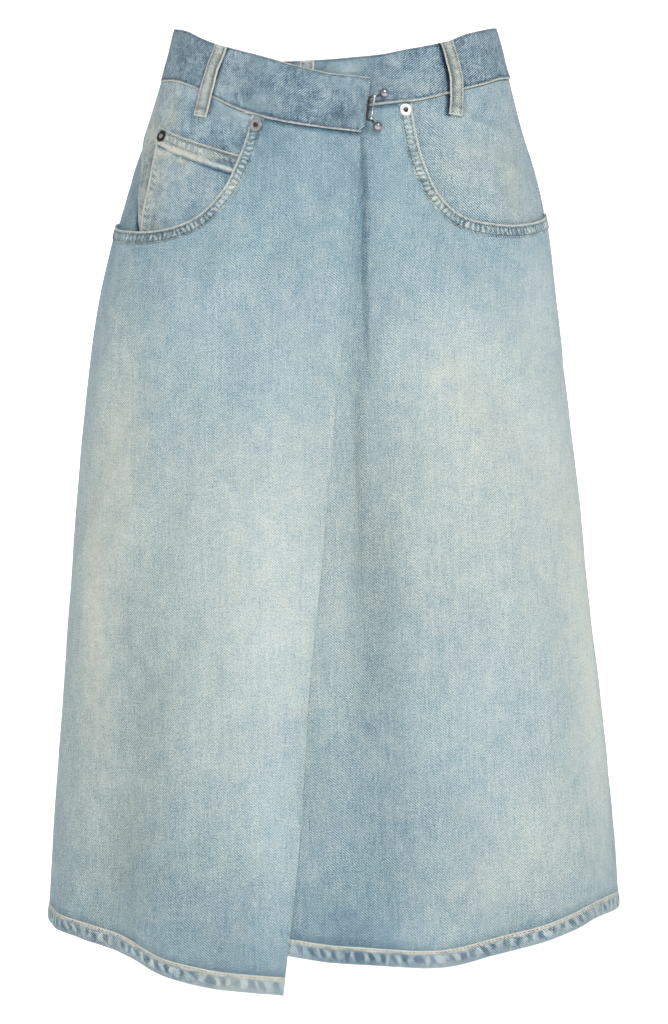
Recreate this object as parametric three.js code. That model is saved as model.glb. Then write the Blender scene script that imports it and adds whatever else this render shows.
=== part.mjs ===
// A faded denim wrap skirt, filled out as if worn, with nobody in it.
// Units are millimetres. +Z is up, -Y is the front and +X is the wearer's left.
// The origin is the centre of the waist opening, level with the waist seam at the side seams.
// Right and left in names are the wearer's.

import * as THREE from 'three';

// Cloth thicknesses and the gap kept between pieces

const CLOTH = 1.2;
const BAND_CLOTH = 2.6;
const LOOP_CLOTH = 1.8;
const EDGE_CLOTH = 1.0;
const GAP = 0.3;
const LAYER_GAP = 0.45;

// How far each layer's inner side stands off the body surface

const UNDER_LIFT = 0;
const FACING_LIFT = UNDER_LIFT + CLOTH + LAYER_GAP;
const COIN_LIFT = FACING_LIFT + CLOTH + LAYER_GAP;
const FLAP_LIFT = COIN_LIFT + CLOTH + LAYER_GAP;
const BAND_LIFT = 0.8;
const BAND_OVER_LIFT = BAND_CLOTH + CLOTH + 2 * LAYER_GAP;

// Hems, bands and loops

const HEM_DEPTH = 15;
const HEM_STEP = 0.8;
const HEM_OUT = 0.6;
const HEM_IN = 0.8;
const POCKET_EDGE_WIDTH = 10.5;
const LOOP_WIDTH = 11;
const LOOP_DROP = 17;
const LOOP_GAP = 0.6;
const LOOP_TOP_INSET = 0.8;

// Metal

const WASHER_RADIUS = 4.8;
const WASHER_HEIGHT = 0.7;
const STUD_RADIUS = 1.9;
const STUD_HEIGHT = 1.6;
const SEAT_GAP = 0.45;
const BALL_RADIUS = 3.8;
const ROD_RADIUS = 0.9;
const CROSSBAR_RADIUS = 0.6;
const BEAD_RADIUS = 1.6;

// Rounded horizontal sections of the body surface, from the waist down

const ROUNDNESS = 2.25;
const SECTIONS = [
  { height: 43, halfWidth: 130.2, shift: 1.6, front: 86, back: 88 },
  { height: 0, halfWidth: 141.0, shift: 1.6, front: 91, back: 94 },
  { height: -40, halfWidth: 152.5, shift: 0.8, front: 95, back: 102 },
  { height: -80, halfWidth: 165.2, shift: -0.5, front: 99, back: 110 },
  { height: -116, halfWidth: 174.6, shift: -1.8, front: 103, back: 117 },
  { height: -140, halfWidth: 179.4, shift: -2.8, front: 105, back: 121 },
  { height: -181, halfWidth: 185.9, shift: -5.2, front: 110, back: 126 },
  { height: -222, halfWidth: 192.0, shift: -6.6, front: 114, back: 129 },
  { height: -264, halfWidth: 196.9, shift: -7.0, front: 118, back: 131 },
  { height: -347, halfWidth: 205.5, shift: -5.7, front: 126, back: 134 },
  { height: -430, halfWidth: 212.6, shift: -4.5, front: 133, back: 137 },
  { height: -513, halfWidth: 220.1, shift: -2.8, front: 139, back: 141 },
  { height: -596, halfWidth: 227.5, shift: -1.2, front: 144, back: 145 },
  { height: -700, halfWidth: 234.0, shift: -0.8, front: 149, back: 150 },
  { height: -740, halfWidth: 236.5, shift: -0.6, front: 151, back: 152 },
];

// Soft folds. A row's centre runs from one turn at its start to another at the hem,
// its depth is outward if positive, and hemShare is the part of the depth left at the hem.

const FOLDS = [
  { start: -62, full: -200, top: 7.5, hem: 8.5, width: 3.2, spread: 6.0, depth: -8, hemShare: 0.55 },
  { start: -330, full: -640, top: 17, hem: 16, width: 6, spread: 7, depth: 5, hemShare: 1 },
  { start: -400, full: -690, top: 31, hem: 33, width: 7, spread: 8, depth: -6, hemShare: 1 },
  { start: -420, full: -680, top: 54, hem: 55, width: 9, spread: 10, depth: 4, hemShare: 1 },
  { start: -300, full: -650, top: -26, hem: -27, width: 7, spread: 8, depth: 7, hemShare: 1 },
  { start: -330, full: -660, top: -44, hem: -45, width: 8, spread: 8, depth: -6, hemShare: 1 },
  { start: -380, full: -690, top: -64, hem: -63, width: 9, spread: 9, depth: 3, hemShare: 1 },
  { start: -300, full: -680, top: 118, hem: 120, width: 9, spread: 10, depth: 6, hemShare: 1 },
  { start: -340, full: -690, top: 139, hem: 142, width: 9, spread: 10, depth: -7, hemShare: 1 },
  { start: -260, full: -640, top: 163, hem: 164, width: 8, spread: 10, depth: 7, hemShare: 1 },
  { start: -360, full: -690, top: -174, hem: -172, width: 8, spread: 9, depth: -6, hemShare: 1 },
  { start: -300, full: -660, top: -148, hem: -150, width: 9, spread: 10, depth: 7, hemShare: 1 },
  { start: -330, full: -700, top: -126, hem: -127, width: 9, spread: 9, depth: -6, hemShare: 1 },
];

// The upper and lower edges of the waistband, which dips to the front and crosses itself there

const RIGHT_WAIST = [
  { turn: -90, top: 43, seam: -2.5 },
  { turn: -61, top: 31, seam: -10.5 },
  { turn: -45, top: 18.5, seam: -21 },
  { turn: -25, top: 4.5, seam: -42 },
  { turn: -11.5, top: -6, seam: -52.4 },
  { turn: 0, top: -13, seam: -58 },
  { turn: 11, top: -18, seam: -62 },
];
const LEFT_WAIST = [
  { turn: -20, top: -3, seam: -40 },
  { turn: 0, top: 0.2, seam: -38.5 },
  { turn: 12, top: 3.4, seam: -36.8 },
  { turn: 22, top: 9, seam: -33 },
  { turn: 37, top: 17, seam: -23.5 },
  { turn: 48, top: 25.5, seam: -17 },
  { turn: 66, top: 34.5, seam: -7 },
  { turn: 90, top: 43, seam: 1 },
];
const BACK_WAIST = [
  { turn: 90, top: 43, seam: 1 },
  { turn: 120, top: 37.5, seam: -4 },
  { turn: 150, top: 32, seam: -10 },
  { turn: 180, top: 30, seam: -12 },
  { turn: 210, top: 32, seam: -10 },
  { turn: 240, top: 37.5, seam: -6 },
  { turn: 270, top: 43, seam: -2.5 },
];

// The lower edges of the three panels

const FLAP_HEM = [
  { turn: -90, hem: -691 },
  { turn: -66, hem: -691 },
  { turn: -56, hem: -693 },
  { turn: -45, hem: -699 },
  { turn: -38, hem: -704 },
  { turn: -31, hem: -711 },
  { turn: -24, hem: -717 },
  { turn: -18, hem: -721 },
  { turn: -8, hem: -724.5 },
];
const UNDER_HEM = [
  { turn: -30, hem: -688 },
  { turn: -8, hem: -695 },
  { turn: 1, hem: -701 },
  { turn: 10, hem: -704.5 },
  { turn: 18, hem: -704 },
  { turn: 28, hem: -700 },
  { turn: 38, hem: -694.5 },
  { turn: 48, hem: -686.5 },
  { turn: 60, hem: -679 },
  { turn: 75, hem: -679 },
  { turn: 90, hem: -682 },
];
const BACK_HEM = [
  { turn: 90, hem: -682 },
  { turn: 130, hem: -683 },
  { turn: 180, hem: -686 },
  { turn: 230, hem: -687 },
  { turn: 270, hem: -691 },
];
const SIDE_HEM_HEIGHT = -690;

// The free edge of the outer front, which falls straight below the band and then swings away

const FLAP_EDGE = [
  { height: -58, x: 20.0 },
  { height: -80, x: 20.0 },
  { height: -140, x: 14.5 },
  { height: -205, x: 9.2 },
  { height: -280, x: 0.8 },
  { height: -340, x: -4.3 },
  { height: -405, x: -10.0 },
  { height: -490, x: -18.4 },
  { height: -610, x: -26.0 },
  { height: -725, x: -38.3 },
];
const BAND_END = [
  { down: 0, x: 28.0 },
  { down: 0.45, x: 26.4 },
  { down: 0.82, x: 24.7 },
  { down: 1, x: 20.4 },
];
const UNDER_EDGE = { bandTurn: -14.5, topTurn: -15.5, hemTurn: -27 };

// The scooped pocket mouths, as the four handles of a curve in turn and height

const RIGHT_MOUTH = [
  [-21.6, -44],
  [-24.7, -138.9],
  [-35.2, -151.7],
  [-90, -118],
];
const LEFT_MOUTH = [
  [20.4, -36],
  [22.6, -145],
  [35.5, -142],
  [90, -109.5],
];
const FACING_FOOT = -148;

// The outer front's pocket facing has a free side edge, which runs forward as it falls

const FACING_EDGE = [
  { height: 0, turn: -89.9 },
  { height: -40, turn: -86 },
  { height: -50, turn: -80 },
  { height: -58, turn: -75.5 },
  { height: -72, turn: -70 },
  { height: -100, turn: -63 },
  { height: -128, turn: -57.6 },
  { height: -148, turn: -54.2 },
];

// The coin pocket, a patch with a slanted top

const COIN = {
  outer: -46.5,
  inner: -79.5,
  innerTurn: -20.5,
  foot: -146,
  hemDepth: 16.5,
  hemRise: 0.8,
};
const COIN_EDGE = [
  { height: -46, turn: -62.4 },
  { height: -60, turn: -59.8 },
  { height: -90, turn: -57.2 },
  { height: -116, turn: -56.1 },
  { height: -146, turn: -53.6 },
];

// Materials

const denim = new THREE.MeshStandardMaterial({ color: 0x9fb9c6, roughness: 0.92, metalness: 0 });
const paleDenim = new THREE.MeshStandardMaterial({ color: 0xb9c2bd, roughness: 0.93, metalness: 0 });
const bandDenim = new THREE.MeshStandardMaterial({ color: 0x8aa8bd, roughness: 0.92, metalness: 0 });
const steel = new THREE.MeshStandardMaterial({ color: 0x8f8a8c, roughness: 0.28, metalness: 1 });

const DEGREE = Math.PI / 180;

// How far, in degrees, a piece stops short of a side seam or of the centre back seam

const SIDE_GAP = 0.05;
const CENTRE_GAP = 0.03;
const RIGHT_SIDE = -90 + SIDE_GAP;
const LEFT_SIDE = 90 - SIDE_GAP;

function clamp01(value) {
  return Math.min(1, Math.max(0, value));
}

function ease(from, to, value) {
  const share = clamp01((value - from) / (to - from));
  return share * share * (3 - 2 * share);
}

function mix(a, b, share) {
  return a + (b - a) * share;
}

// A smooth curve through one column of a table, against another column that rises or falls steadily

function read(table, key, column, at) {
  const last = table.length - 1;
  const sign = Math.sign(table[last][key] - table[0][key]);
  let i = 0;
  while (i < last - 1 && (at - table[i + 1][key]) * sign > 0) {
    i += 1;
  }
  const slope = (k) => {
    const low = table[Math.max(k - 1, 0)];
    const high = table[Math.min(k + 1, last)];
    return (high[column] - low[column]) / (high[key] - low[key]);
  };
  const span = table[i + 1][key] - table[i][key];
  const t = Math.min(1.5, Math.max(-0.5, (at - table[i][key]) / span));
  const t2 = t * t;
  const t3 = t2 * t;
  return (
    (2 * t3 - 3 * t2 + 1) * table[i][column] +
    (t3 - 2 * t2 + t) * span * slope(i) +
    (3 * t2 - 2 * t3) * table[i + 1][column] +
    (t3 - t2) * span * slope(i + 1)
  );
}

function wrapTurn(turn) {
  return ((((turn + 180) % 360) + 360) % 360) - 180;
}

// How far the folds push the surface outward

function foldDepth(turn, height) {
  let sum = 0;
  for (const fold of FOLDS) {
    const grown = ease(fold.start, fold.full, height);
    const down = clamp01((fold.start - height) / (fold.start - SIDE_HEM_HEIGHT));
    const width = mix(fold.width, fold.spread, down);
    const off = wrapTurn(turn - mix(fold.top, fold.hem, down)) / width;
    const left = mix(1, fold.hemShare, ease(0.55, 1, down));
    sum += fold.depth * grown * left * Math.exp(-off * off);
  }
  return sum;
}

// A point of the body surface

function body(turn, height) {
  const halfWidth = read(SECTIONS, 'height', 'halfWidth', height);
  const shift = read(SECTIONS, 'height', 'shift', height);
  const sine = Math.sin(turn * DEGREE);
  const cosine = Math.cos(turn * DEGREE);
  const depth = read(SECTIONS, 'height', cosine > 0 ? 'front' : 'back', height);
  const power = 2 / ROUNDNESS;
  const x = Math.sign(sine) * Math.abs(sine) ** power;
  const y = -Math.sign(cosine) * Math.abs(cosine) ** power;
  const nx = (Math.sign(x) * Math.abs(x) ** (ROUNDNESS - 1)) / halfWidth;
  const ny = (Math.sign(y) * Math.abs(y) ** (ROUNDNESS - 1)) / depth;
  const push = foldDepth(turn, height) / Math.hypot(nx, ny);
  return new THREE.Vector3(shift + halfWidth * x + nx * push, depth * y + ny * push, height);
}

const STEP_TURN = 0.4;
const STEP_HEIGHT = 1.5;

function alongTurn(turn, height) {
  return body(turn + STEP_TURN, height).sub(body(turn - STEP_TURN, height)).divideScalar(2 * STEP_TURN);
}

function alongHeight(turn, height) {
  return body(turn, height + STEP_HEIGHT).sub(body(turn, height - STEP_HEIGHT)).divideScalar(2 * STEP_HEIGHT);
}

function outward(turn, height) {
  return alongTurn(turn, height).cross(alongHeight(turn, height)).normalize();
}

// A point that stands a given lift off the body surface

function skin(turn, height, lift) {
  return body(turn, height).addScaledVector(outward(turn, height), lift);
}

// The turn at which the front of the body surface has a given x

function turnAt(x, height) {
  const off = (x - read(SECTIONS, 'height', 'shift', height)) / read(SECTIONS, 'height', 'halfWidth', height);
  return (Math.sign(off) * Math.asin(Math.abs(off) ** (ROUNDNESS / 2))) / DEGREE;
}

// A closed wall: place gives each grid point's turn and height, inner its lift, and cloth its thickness

function wall(name, material, columns, rows, place, inner, cloth) {
  const across = columns.length;
  const down = rows.length;
  const outerPoints = [];
  const innerPoints = [];
  for (const t of rows) {
    for (const s of columns) {
      const { turn, height } = place(s, t);
      const low = inner(turn, height, s, t);
      const up = low + cloth(turn, height, s, t);
      outerPoints.push(skin(turn, height, up));
      innerPoints.push(skin(turn, height, low));
    }
  }
  const positions = [...outerPoints, ...innerPoints].flatMap((p) => [p.x, p.y, p.z]);
  const index = [];
  const shift = across * down;
  const quad = (a, b, c, d) => index.push(a, b, c, a, c, d);
  for (let j = 0; j < down - 1; j += 1) {
    for (let i = 0; i < across - 1; i += 1) {
      const a = j * across + i;
      quad(a, a + across, a + across + 1, a + 1);
      quad(a + shift, a + shift + 1, a + shift + across + 1, a + shift + across);
    }
  }
  for (let i = 0; i < across - 1; i += 1) {
    const foot = (down - 1) * across + i;
    quad(i, i + 1, i + 1 + shift, i + shift);
    quad(foot, foot + shift, foot + shift + 1, foot + 1);
  }
  for (let j = 0; j < down - 1; j += 1) {
    const near = j * across;
    const far = near + across - 1;
    quad(near, near + shift, near + shift + across, near + across);
    quad(far, far + across, far + across + shift, far + shift);
  }
  const geometry = new THREE.BufferGeometry();
  geometry.setAttribute('position', new THREE.Float32BufferAttribute(positions, 3));
  geometry.setIndex(index);
  geometry.computeVertexNormals();
  const mesh = new THREE.Mesh(geometry, material);
  mesh.name = name;
  return mesh;
}

function steps(count, from = 0, to = 1) {
  return Array.from({ length: count + 1 }, (_, i) => mix(from, to, i / count));
}

function bezier(handles, t) {
  const r = 1 - t;
  const weights = [r * r * r, 3 * r * r * t, 3 * r * t * t, t * t * t];
  const blend = (axis) => weights.reduce((sum, w, i) => sum + w * handles[i][axis], 0);
  return { turn: blend(0), height: blend(1) };
}

// Lifts of the layers

function flapLift(turn, height) {
  const overPocket = mix(FACING_LIFT, FLAP_LIFT, ease(-76, -60, turn));
  const hems = (HEM_IN + HEM_OUT + GAP) * ease(-610, -670, height);
  const below = (FACING_LIFT + hems) * ease(-70, -42, turn);
  return mix(below, overPocket, ease(-255, -175, height));
}

function underLift(turn) {
  return mix(UNDER_LIFT, FACING_LIFT, ease(4, 20, turn));
}

function backLift(turn) {
  return (FACING_LIFT / 2) * (1 + Math.sin(turn * DEGREE));
}

function rightBandLift(turn) {
  return mix(BAND_LIFT, BAND_OVER_LIFT, ease(-44, -20, turn));
}

function leftBandLift(turn) {
  return mix(UNDER_LIFT, BAND_LIFT, ease(4, 20, turn));
}

function rightFacingLift(turn, height) {
  const rise = FLAP_LIFT - COIN_LIFT - 0.1;
  return FACING_LIFT + rise * ease(-40, -24, turn) * ease(-70, -50, height);
}

// Rows of a panel from its top to its hem, with the hem's folded depth as a low step

const HEM_ROWS = [1, 1 + HEM_STEP / HEM_DEPTH, 2];

function hemmed(top, hem, t) {
  const stitch = hem + HEM_DEPTH;
  return t <= 1 ? mix(top, stitch, t) : mix(stitch, hem, t - 1);
}

function hemInner(base) {
  return (turn, height, s, t) => base(turn, height) - (t > 1 ? HEM_IN : 0);
}

function hemCloth(turn, height, s, t) {
  return CLOTH + (t > 1 ? HEM_IN + HEM_OUT : 0);
}

// The outer front: its top follows the waist seam, then the pocket mouth

const SEAM_SHARE = 0.42;
const FLAP_TOP_TURN = turnAt(FLAP_EDGE[0].x, FLAP_EDGE[0].height);

function flapTop(s) {
  if (s <= SEAM_SHARE) {
    const turn = mix(FLAP_TOP_TURN, RIGHT_MOUTH[0][0], s / SEAM_SHARE);
    return { turn, height: read(RIGHT_WAIST, 'turn', 'seam', turn) - GAP };
  }
  return bezier(RIGHT_MOUTH, (s - SEAM_SHARE) / (1 - SEAM_SHARE));
}

function flapPlace(s, t) {
  const top = flapTop(s);
  const share = clamp01(s / SEAM_SHARE);
  const hemTurn = s <= SEAM_SHARE ? mix(-8, RIGHT_MOUTH[0][0], share) : top.turn;
  const height = hemmed(top.height, read(FLAP_HEM, 'turn', 'hem', hemTurn), t);
  const edge = turnAt(read(FLAP_EDGE, 'height', 'x', height), height);
  const turn = s <= SEAM_SHARE ? mix(edge, RIGHT_MOUTH[0][0], share) : top.turn;
  return { turn: Math.max(turn, RIGHT_SIDE), height };
}

// The under front: its top follows the waist seam from its hidden edge, then the pocket mouth

function underTop(s) {
  if (s <= SEAM_SHARE) {
    const turn = mix(UNDER_EDGE.topTurn, LEFT_MOUTH[0][0], s / SEAM_SHARE);
    return { turn, height: read(LEFT_WAIST, 'turn', 'seam', turn) - GAP };
  }
  return bezier(LEFT_MOUTH, (s - SEAM_SHARE) / (1 - SEAM_SHARE));
}

function underPlace(s, t) {
  const top = underTop(s);
  const share = clamp01(s / SEAM_SHARE);
  const footTurn = s <= SEAM_SHARE ? mix(UNDER_EDGE.hemTurn, LEFT_MOUTH[0][0], share) : top.turn;
  const height = hemmed(top.height, read(UNDER_HEM, 'turn', 'hem', footTurn), t);
  const turn = mix(top.turn, footTurn, Math.min(1, t));
  return { turn: Math.min(turn, LEFT_SIDE), height };
}

function backPlace(from, to) {
  return (s, t) => {
    const turn = mix(from, to, s);
    const top = read(BACK_WAIST, 'turn', 'seam', turn) - GAP;
    return { turn, height: hemmed(top, read(BACK_HEM, 'turn', 'hem', turn), t) };
  };
}

const panelRows = (count) => [...steps(count).map((t) => t ** 1.25), ...HEM_ROWS.slice(1)];

function panels() {
  return [
    wall('front_right', denim, steps(40), panelRows(17), flapPlace, hemInner(flapLift), hemCloth),
    wall('front_left', denim, steps(44), panelRows(17), underPlace, hemInner(underLift), hemCloth),
    wall('back_left', denim, steps(15), panelRows(12), backPlace(90 + SIDE_GAP, 180 - CENTRE_GAP), hemInner(backLift), hemCloth),
    wall('back_right', denim, steps(15), panelRows(12), backPlace(180 + CENTRE_GAP, 270 - SIDE_GAP), hemInner(backLift), hemCloth),
  ].map(outwardFaces);
}

// Walls that are gridded from the wearer's left to right would face inward, so their faces are turned

function outwardFaces(mesh) {
  const position = mesh.geometry.getAttribute('position');
  const index = mesh.geometry.getIndex();
  const corners = [new THREE.Vector3(), new THREE.Vector3(), new THREE.Vector3()];
  let volume = 0;
  for (let i = 0; i < index.count; i += 3) {
    corners.forEach((corner, k) => corner.fromBufferAttribute(position, index.getX(i + k)));
    volume += corners[0].dot(corners[1].cross(corners[2]));
  }
  if (volume < 0) {
    for (let i = 0; i < index.count; i += 3) {
      const held = index.getX(i);
      index.setX(i, index.getX(i + 1));
      index.setX(i + 1, held);
    }
    mesh.geometry.computeVertexNormals();
  }
  return mesh;
}

// The waistband in three lengths, joined at the side seams

function bandPlace(table, from, to) {
  return (s, t) => {
    const turn = mix(from, to(t), s);
    return { turn, height: mix(read(table, 'turn', 'top', turn), read(table, 'turn', 'seam', turn), t) };
  };
}

function bandEnd(t) {
  return turnAt(read(BAND_END, 'down', 'x', t), mix(-18, -61, t));
}

function waistband() {
  const cloth = () => BAND_CLOTH;
  const rows = [0, 0.3, 0.6, 0.82, 0.93, 1];
  return [
    wall('waistband_right', bandDenim, steps(24), rows, bandPlace(RIGHT_WAIST, RIGHT_SIDE, bandEnd), rightBandLift, cloth),
    wall('waistband_left', bandDenim, steps(24), rows, bandPlace(LEFT_WAIST, UNDER_EDGE.bandTurn, () => LEFT_SIDE), leftBandLift, cloth),
    wall('waistband_back', bandDenim, steps(26), rows, bandPlace(BACK_WAIST, 90 + SIDE_GAP, () => 270 - SIDE_GAP), () => BAND_LIFT, cloth),
  ].map(outwardFaces);
}

// The hip pieces that show inside the pocket mouths

function rightFacingPlace(s, t) {
  const height = mix(0, FACING_FOOT, t);
  const inner = RIGHT_MOUTH[0][0] + 4.6;
  const turn = mix(read(FACING_EDGE, 'height', 'turn', height), inner, s);
  const top = read(RIGHT_WAIST, 'turn', 'seam', turn) - GAP;
  return { turn, height: mix(top, FACING_FOOT, t) };
}

function leftFacingPlace(s, t) {
  const turn = mix(LEFT_MOUTH[0][0] - 3, LEFT_SIDE, s);
  const top = read(LEFT_WAIST, 'turn', 'seam', turn) - GAP;
  return { turn, height: mix(top, FACING_FOOT, t) };
}

const SIDE_TOP = -6;

function rightSidePlace(s, t) {
  const height = mix(SIDE_TOP, FACING_FOOT, t);
  const edge = read(FACING_EDGE, 'height', 'turn', height);
  return { turn: mix(RIGHT_SIDE, Math.min(edge + 9, -50), s), height };
}

function coinPlace(s, t) {
  const top = mix(COIN.outer, COIN.inner, s);
  const hemFoot = top - COIN.hemDepth;
  const height = t <= 1 ? mix(top, hemFoot, t) : mix(hemFoot, COIN.foot, t - 1);
  const edge = mix(COIN.outer, COIN.foot, (top - height) / (top - COIN.foot));
  return { turn: mix(read(COIN_EDGE, 'height', 'turn', edge), COIN.innerTurn, s), height };
}

function pocketPieces() {
  const cloth = () => CLOTH;
  const coinRows = [0, 1, 1.02, ...steps(4, 1.25, 2)];
  const coinCloth = (turn, height, s, t) => CLOTH + (t <= 1 ? COIN.hemRise * ease(-24, -34, turn) : 0);
  return [
    wall('pocket_facing_right', denim, steps(16), steps(9), rightFacingPlace, rightFacingLift, cloth),
    wall('pocket_facing_left', denim, steps(16), steps(7), leftFacingPlace, () => UNDER_LIFT, cloth),
    wall('pocket_side_right', denim, steps(8), steps(9), rightSidePlace, () => UNDER_LIFT - LAYER_GAP, cloth),
    wall('coin_pocket', paleDenim, steps(12), coinRows, coinPlace, () => COIN_LIFT, coinCloth),
  ].map(outwardFaces);
}

// The stitched strip along a pocket mouth lies on the front panel

function mouthPlace(mouth, waist, limit) {
  return (s, t) => {
    const here = bezier(mouth, s);
    const next = bezier(mouth, s + 0.01);
    const wide = alongTurn(here.turn, here.height).length();
    const tall = alongHeight(here.turn, here.height).length();
    const dx = (next.turn - here.turn) * wide;
    const dy = (next.height - here.height) * tall;
    const length = Math.hypot(dx, dy);
    const side = Math.sign(limit);
    const turn = here.turn + (side * (dy / length) * t * POCKET_EDGE_WIDTH) / wide;
    const height = here.height - (side * (dx / length) * t * POCKET_EDGE_WIDTH) / tall;
    const highest = read(waist, 'turn', 'seam', turn) - 2 * GAP;
    return { turn: side > 0 ? Math.min(turn, limit) : Math.max(turn, limit), height: Math.min(height, highest) };
  };
}

function pocketEdges() {
  const cloth = () => EDGE_CLOTH;
  const onFlap = (turn, height) => flapLift(turn, height) + CLOTH + LAYER_GAP;
  const onUnder = (turn) => underLift(turn) + CLOTH + LAYER_GAP;
  const right = mouthPlace(RIGHT_MOUTH, RIGHT_WAIST, RIGHT_SIDE);
  const left = mouthPlace(LEFT_MOUTH, LEFT_WAIST, LEFT_SIDE);
  return [
    wall('pocket_edge_right', paleDenim, steps(26, 0, 0.995), steps(2), right, onFlap, cloth),
    wall('pocket_edge_left', paleDenim, steps(26, 0, 0.995), steps(2), left, onUnder, cloth),
  ].map(outwardFaces);
}

// Belt loops: straps sewn at both ends that bow off the band between them

const LOOPS = [
  {
    name: 'belt_loop_front_right',
    waist: RIGHT_WAIST,
    top: -37.5,
    foot: -40.1,
    sway: -0.4,
    bow: 2.4,
    onTop: rightBandLift,
    onFoot: rightFacingLift,
  },
  {
    name: 'belt_loop_front_left',
    waist: LEFT_WAIST,
    top: 35.9,
    foot: 35.2,
    sway: 1.1,
    bow: 4.6,
    onTop: leftBandLift,
    onFoot: () => UNDER_LIFT,
  },
  ...[
    ['belt_loop_back_left', 133],
    ['belt_loop_back_centre', 180],
    ['belt_loop_back_right', 227],
  ].map(([name, turn]) => ({
    name,
    waist: BACK_WAIST,
    top: turn,
    foot: turn,
    sway: 0,
    bow: 3.2,
    onTop: () => BAND_LIFT,
    onFoot: backLift,
  })),
];

function strap(name, path, lift, cloth, segments) {
  const place = (s, t) => {
    const { turn, height } = path(t);
    const wide = alongTurn(turn, height).length();
    return { turn: turn + ((s - 0.5) * LOOP_WIDTH) / wide, height };
  };
  return outwardFaces(wall(name, paleDenim, steps(2), steps(segments), place, (turn, height, s, t) => lift(t), () => cloth));
}

function beltLoop({ name, waist, top, foot, sway, bow, onTop, onFoot }) {
  const topHeight = read(waist, 'turn', 'top', top) - LOOP_TOP_INSET;
  const footHeight = read(waist, 'turn', 'seam', foot) - LOOP_DROP;
  const arch = (t) => Math.sin(Math.PI * t) ** 0.75;
  const path = (t) => ({ turn: mix(top, foot, t) + sway * arch(t), height: mix(topHeight, footHeight, t) });
  const highest = onTop(top, topHeight) + BAND_CLOTH + LOOP_GAP;
  const lowest = onFoot(foot, footHeight) + CLOTH + LOOP_GAP;
  const lift = (t) => mix(highest, lowest, ease(0.5, 1, t)) + bow * arch(t);
  return strap(name, path, lift, LOOP_CLOTH, 12);
}

// The loop on the under band lies pressed flat below the outer band

function hiddenLoop() {
  const turn = -7.3;
  const top = read(LEFT_WAIST, 'turn', 'top', turn) - LOOP_TOP_INSET;
  const foot = read(LEFT_WAIST, 'turn', 'seam', turn) - LOOP_DROP;
  const path = (t) => ({ turn, height: mix(top, foot, t) });
  return strap('belt_loop_under', path, () => BAND_CLOTH + GAP, CLOTH - 0.1, 6);
}

// Metal pieces are turned or bent and then set on the cloth

function setOn(mesh, turn, height, lift) {
  mesh.position.copy(skin(turn, height, lift));
  mesh.quaternion.setFromUnitVectors(new THREE.Vector3(0, 1, 0), outward(turn, height));
  return mesh;
}

function rivet(name, turn, height, lift) {
  const profile = [
    [0, 0],
    [WASHER_RADIUS, 0],
    [WASHER_RADIUS, WASHER_HEIGHT * 0.6],
    [WASHER_RADIUS * 0.9, WASHER_HEIGHT],
    [STUD_RADIUS, WASHER_HEIGHT],
    [STUD_RADIUS * 0.85, STUD_HEIGHT * 0.85],
    [0, STUD_HEIGHT],
  ].map(([x, y]) => new THREE.Vector2(x, y));
  const mesh = new THREE.Mesh(new THREE.LatheGeometry(profile, 16), steel);
  mesh.name = name;
  return setOn(mesh, turn, height, lift + SEAT_GAP);
}

function rivets() {
  const onFlapEdge = FLAP_LIFT + CLOTH + LAYER_GAP + EDGE_CLOTH;
  const onUnderEdge = FACING_LIFT + CLOTH + LAYER_GAP + EDGE_CLOTH;
  const onCoin = COIN_LIFT + CLOTH + COIN.hemRise;
  return [
    rivet('rivet_pocket_right', -19.9, -54.4, onFlapEdge),
    rivet('rivet_pocket_left', 18.4, -41.4, onUnderEdge),
    rivet('rivet_coin_pocket', -56.8, -57, onCoin),
  ];
}

// The closure: a bent bar at the band's free end, with a ball on each arm and a beaded crossbar

const STAPLE = [
  { x: 34.4, height: -31.0, lift: 7.9 },
  { x: 31.2, height: -32.8, lift: 8.3 },
  { x: 28.4, height: -32.6, lift: 8.6 },
  { x: 26.9, height: -34.4, lift: 8.6 },
  { x: 26.2, height: -42.0, lift: 8.6 },
  { x: 25.4, height: -49.6, lift: 8.6 },
  { x: 26.6, height: -51.2, lift: 8.5 },
  { x: 28.7, height: -51.2, lift: 7.9 },
  { x: 30.4, height: -52.8, lift: 6.8 },
];
const BALLS = [
  { name: 'closure_ball_upper', x: 38.6, height: -29.2, on: (turn) => leftBandLift(turn) + BAND_CLOTH },
  { name: 'closure_ball_lower', x: 33.7, height: -55.5, on: (turn) => underLift(turn) + CLOTH },
];
const CROSSBAR = { x: 29.6, height: -41.9, lean: 0.148, halfLength: 8.6, lift: 11.6 };

function frontPoint(x, height, lift) {
  return skin(turnAt(x, height), height, lift);
}

function closure() {
  const path = new THREE.CatmullRomCurve3(STAPLE.map((p) => frontPoint(p.x, p.height, p.lift)));
  const section = new THREE.Shape().absarc(0, 0, ROD_RADIUS, 0, 2 * Math.PI, false);
  const options = { steps: 24, curveSegments: 5, bevelEnabled: false, extrudePath: path };
  const staple = new THREE.Mesh(new THREE.ExtrudeGeometry(section, options), steel);
  staple.name = 'closure_staple';
  const balls = BALLS.map(({ name, x, height, on }) => {
    const arc = new THREE.Path().absarc(0, 0, BALL_RADIUS, -Math.PI / 2, Math.PI / 2, false);
    const ball = new THREE.Mesh(new THREE.LatheGeometry(onAxis(arc.getPoints(8)), 16), steel);
    ball.name = name;
    const turn = turnAt(x, height);
    return setOn(ball, turn, height, on(turn) + SEAT_GAP + BALL_RADIUS);
  });
  return [staple, ...balls, crossbar()];
}

// Rounding would leave a turned profile's ends just off the axis

function onAxis(points) {
  points[0].x = 0;
  points[points.length - 1].x = 0;
  return points;
}

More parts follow.
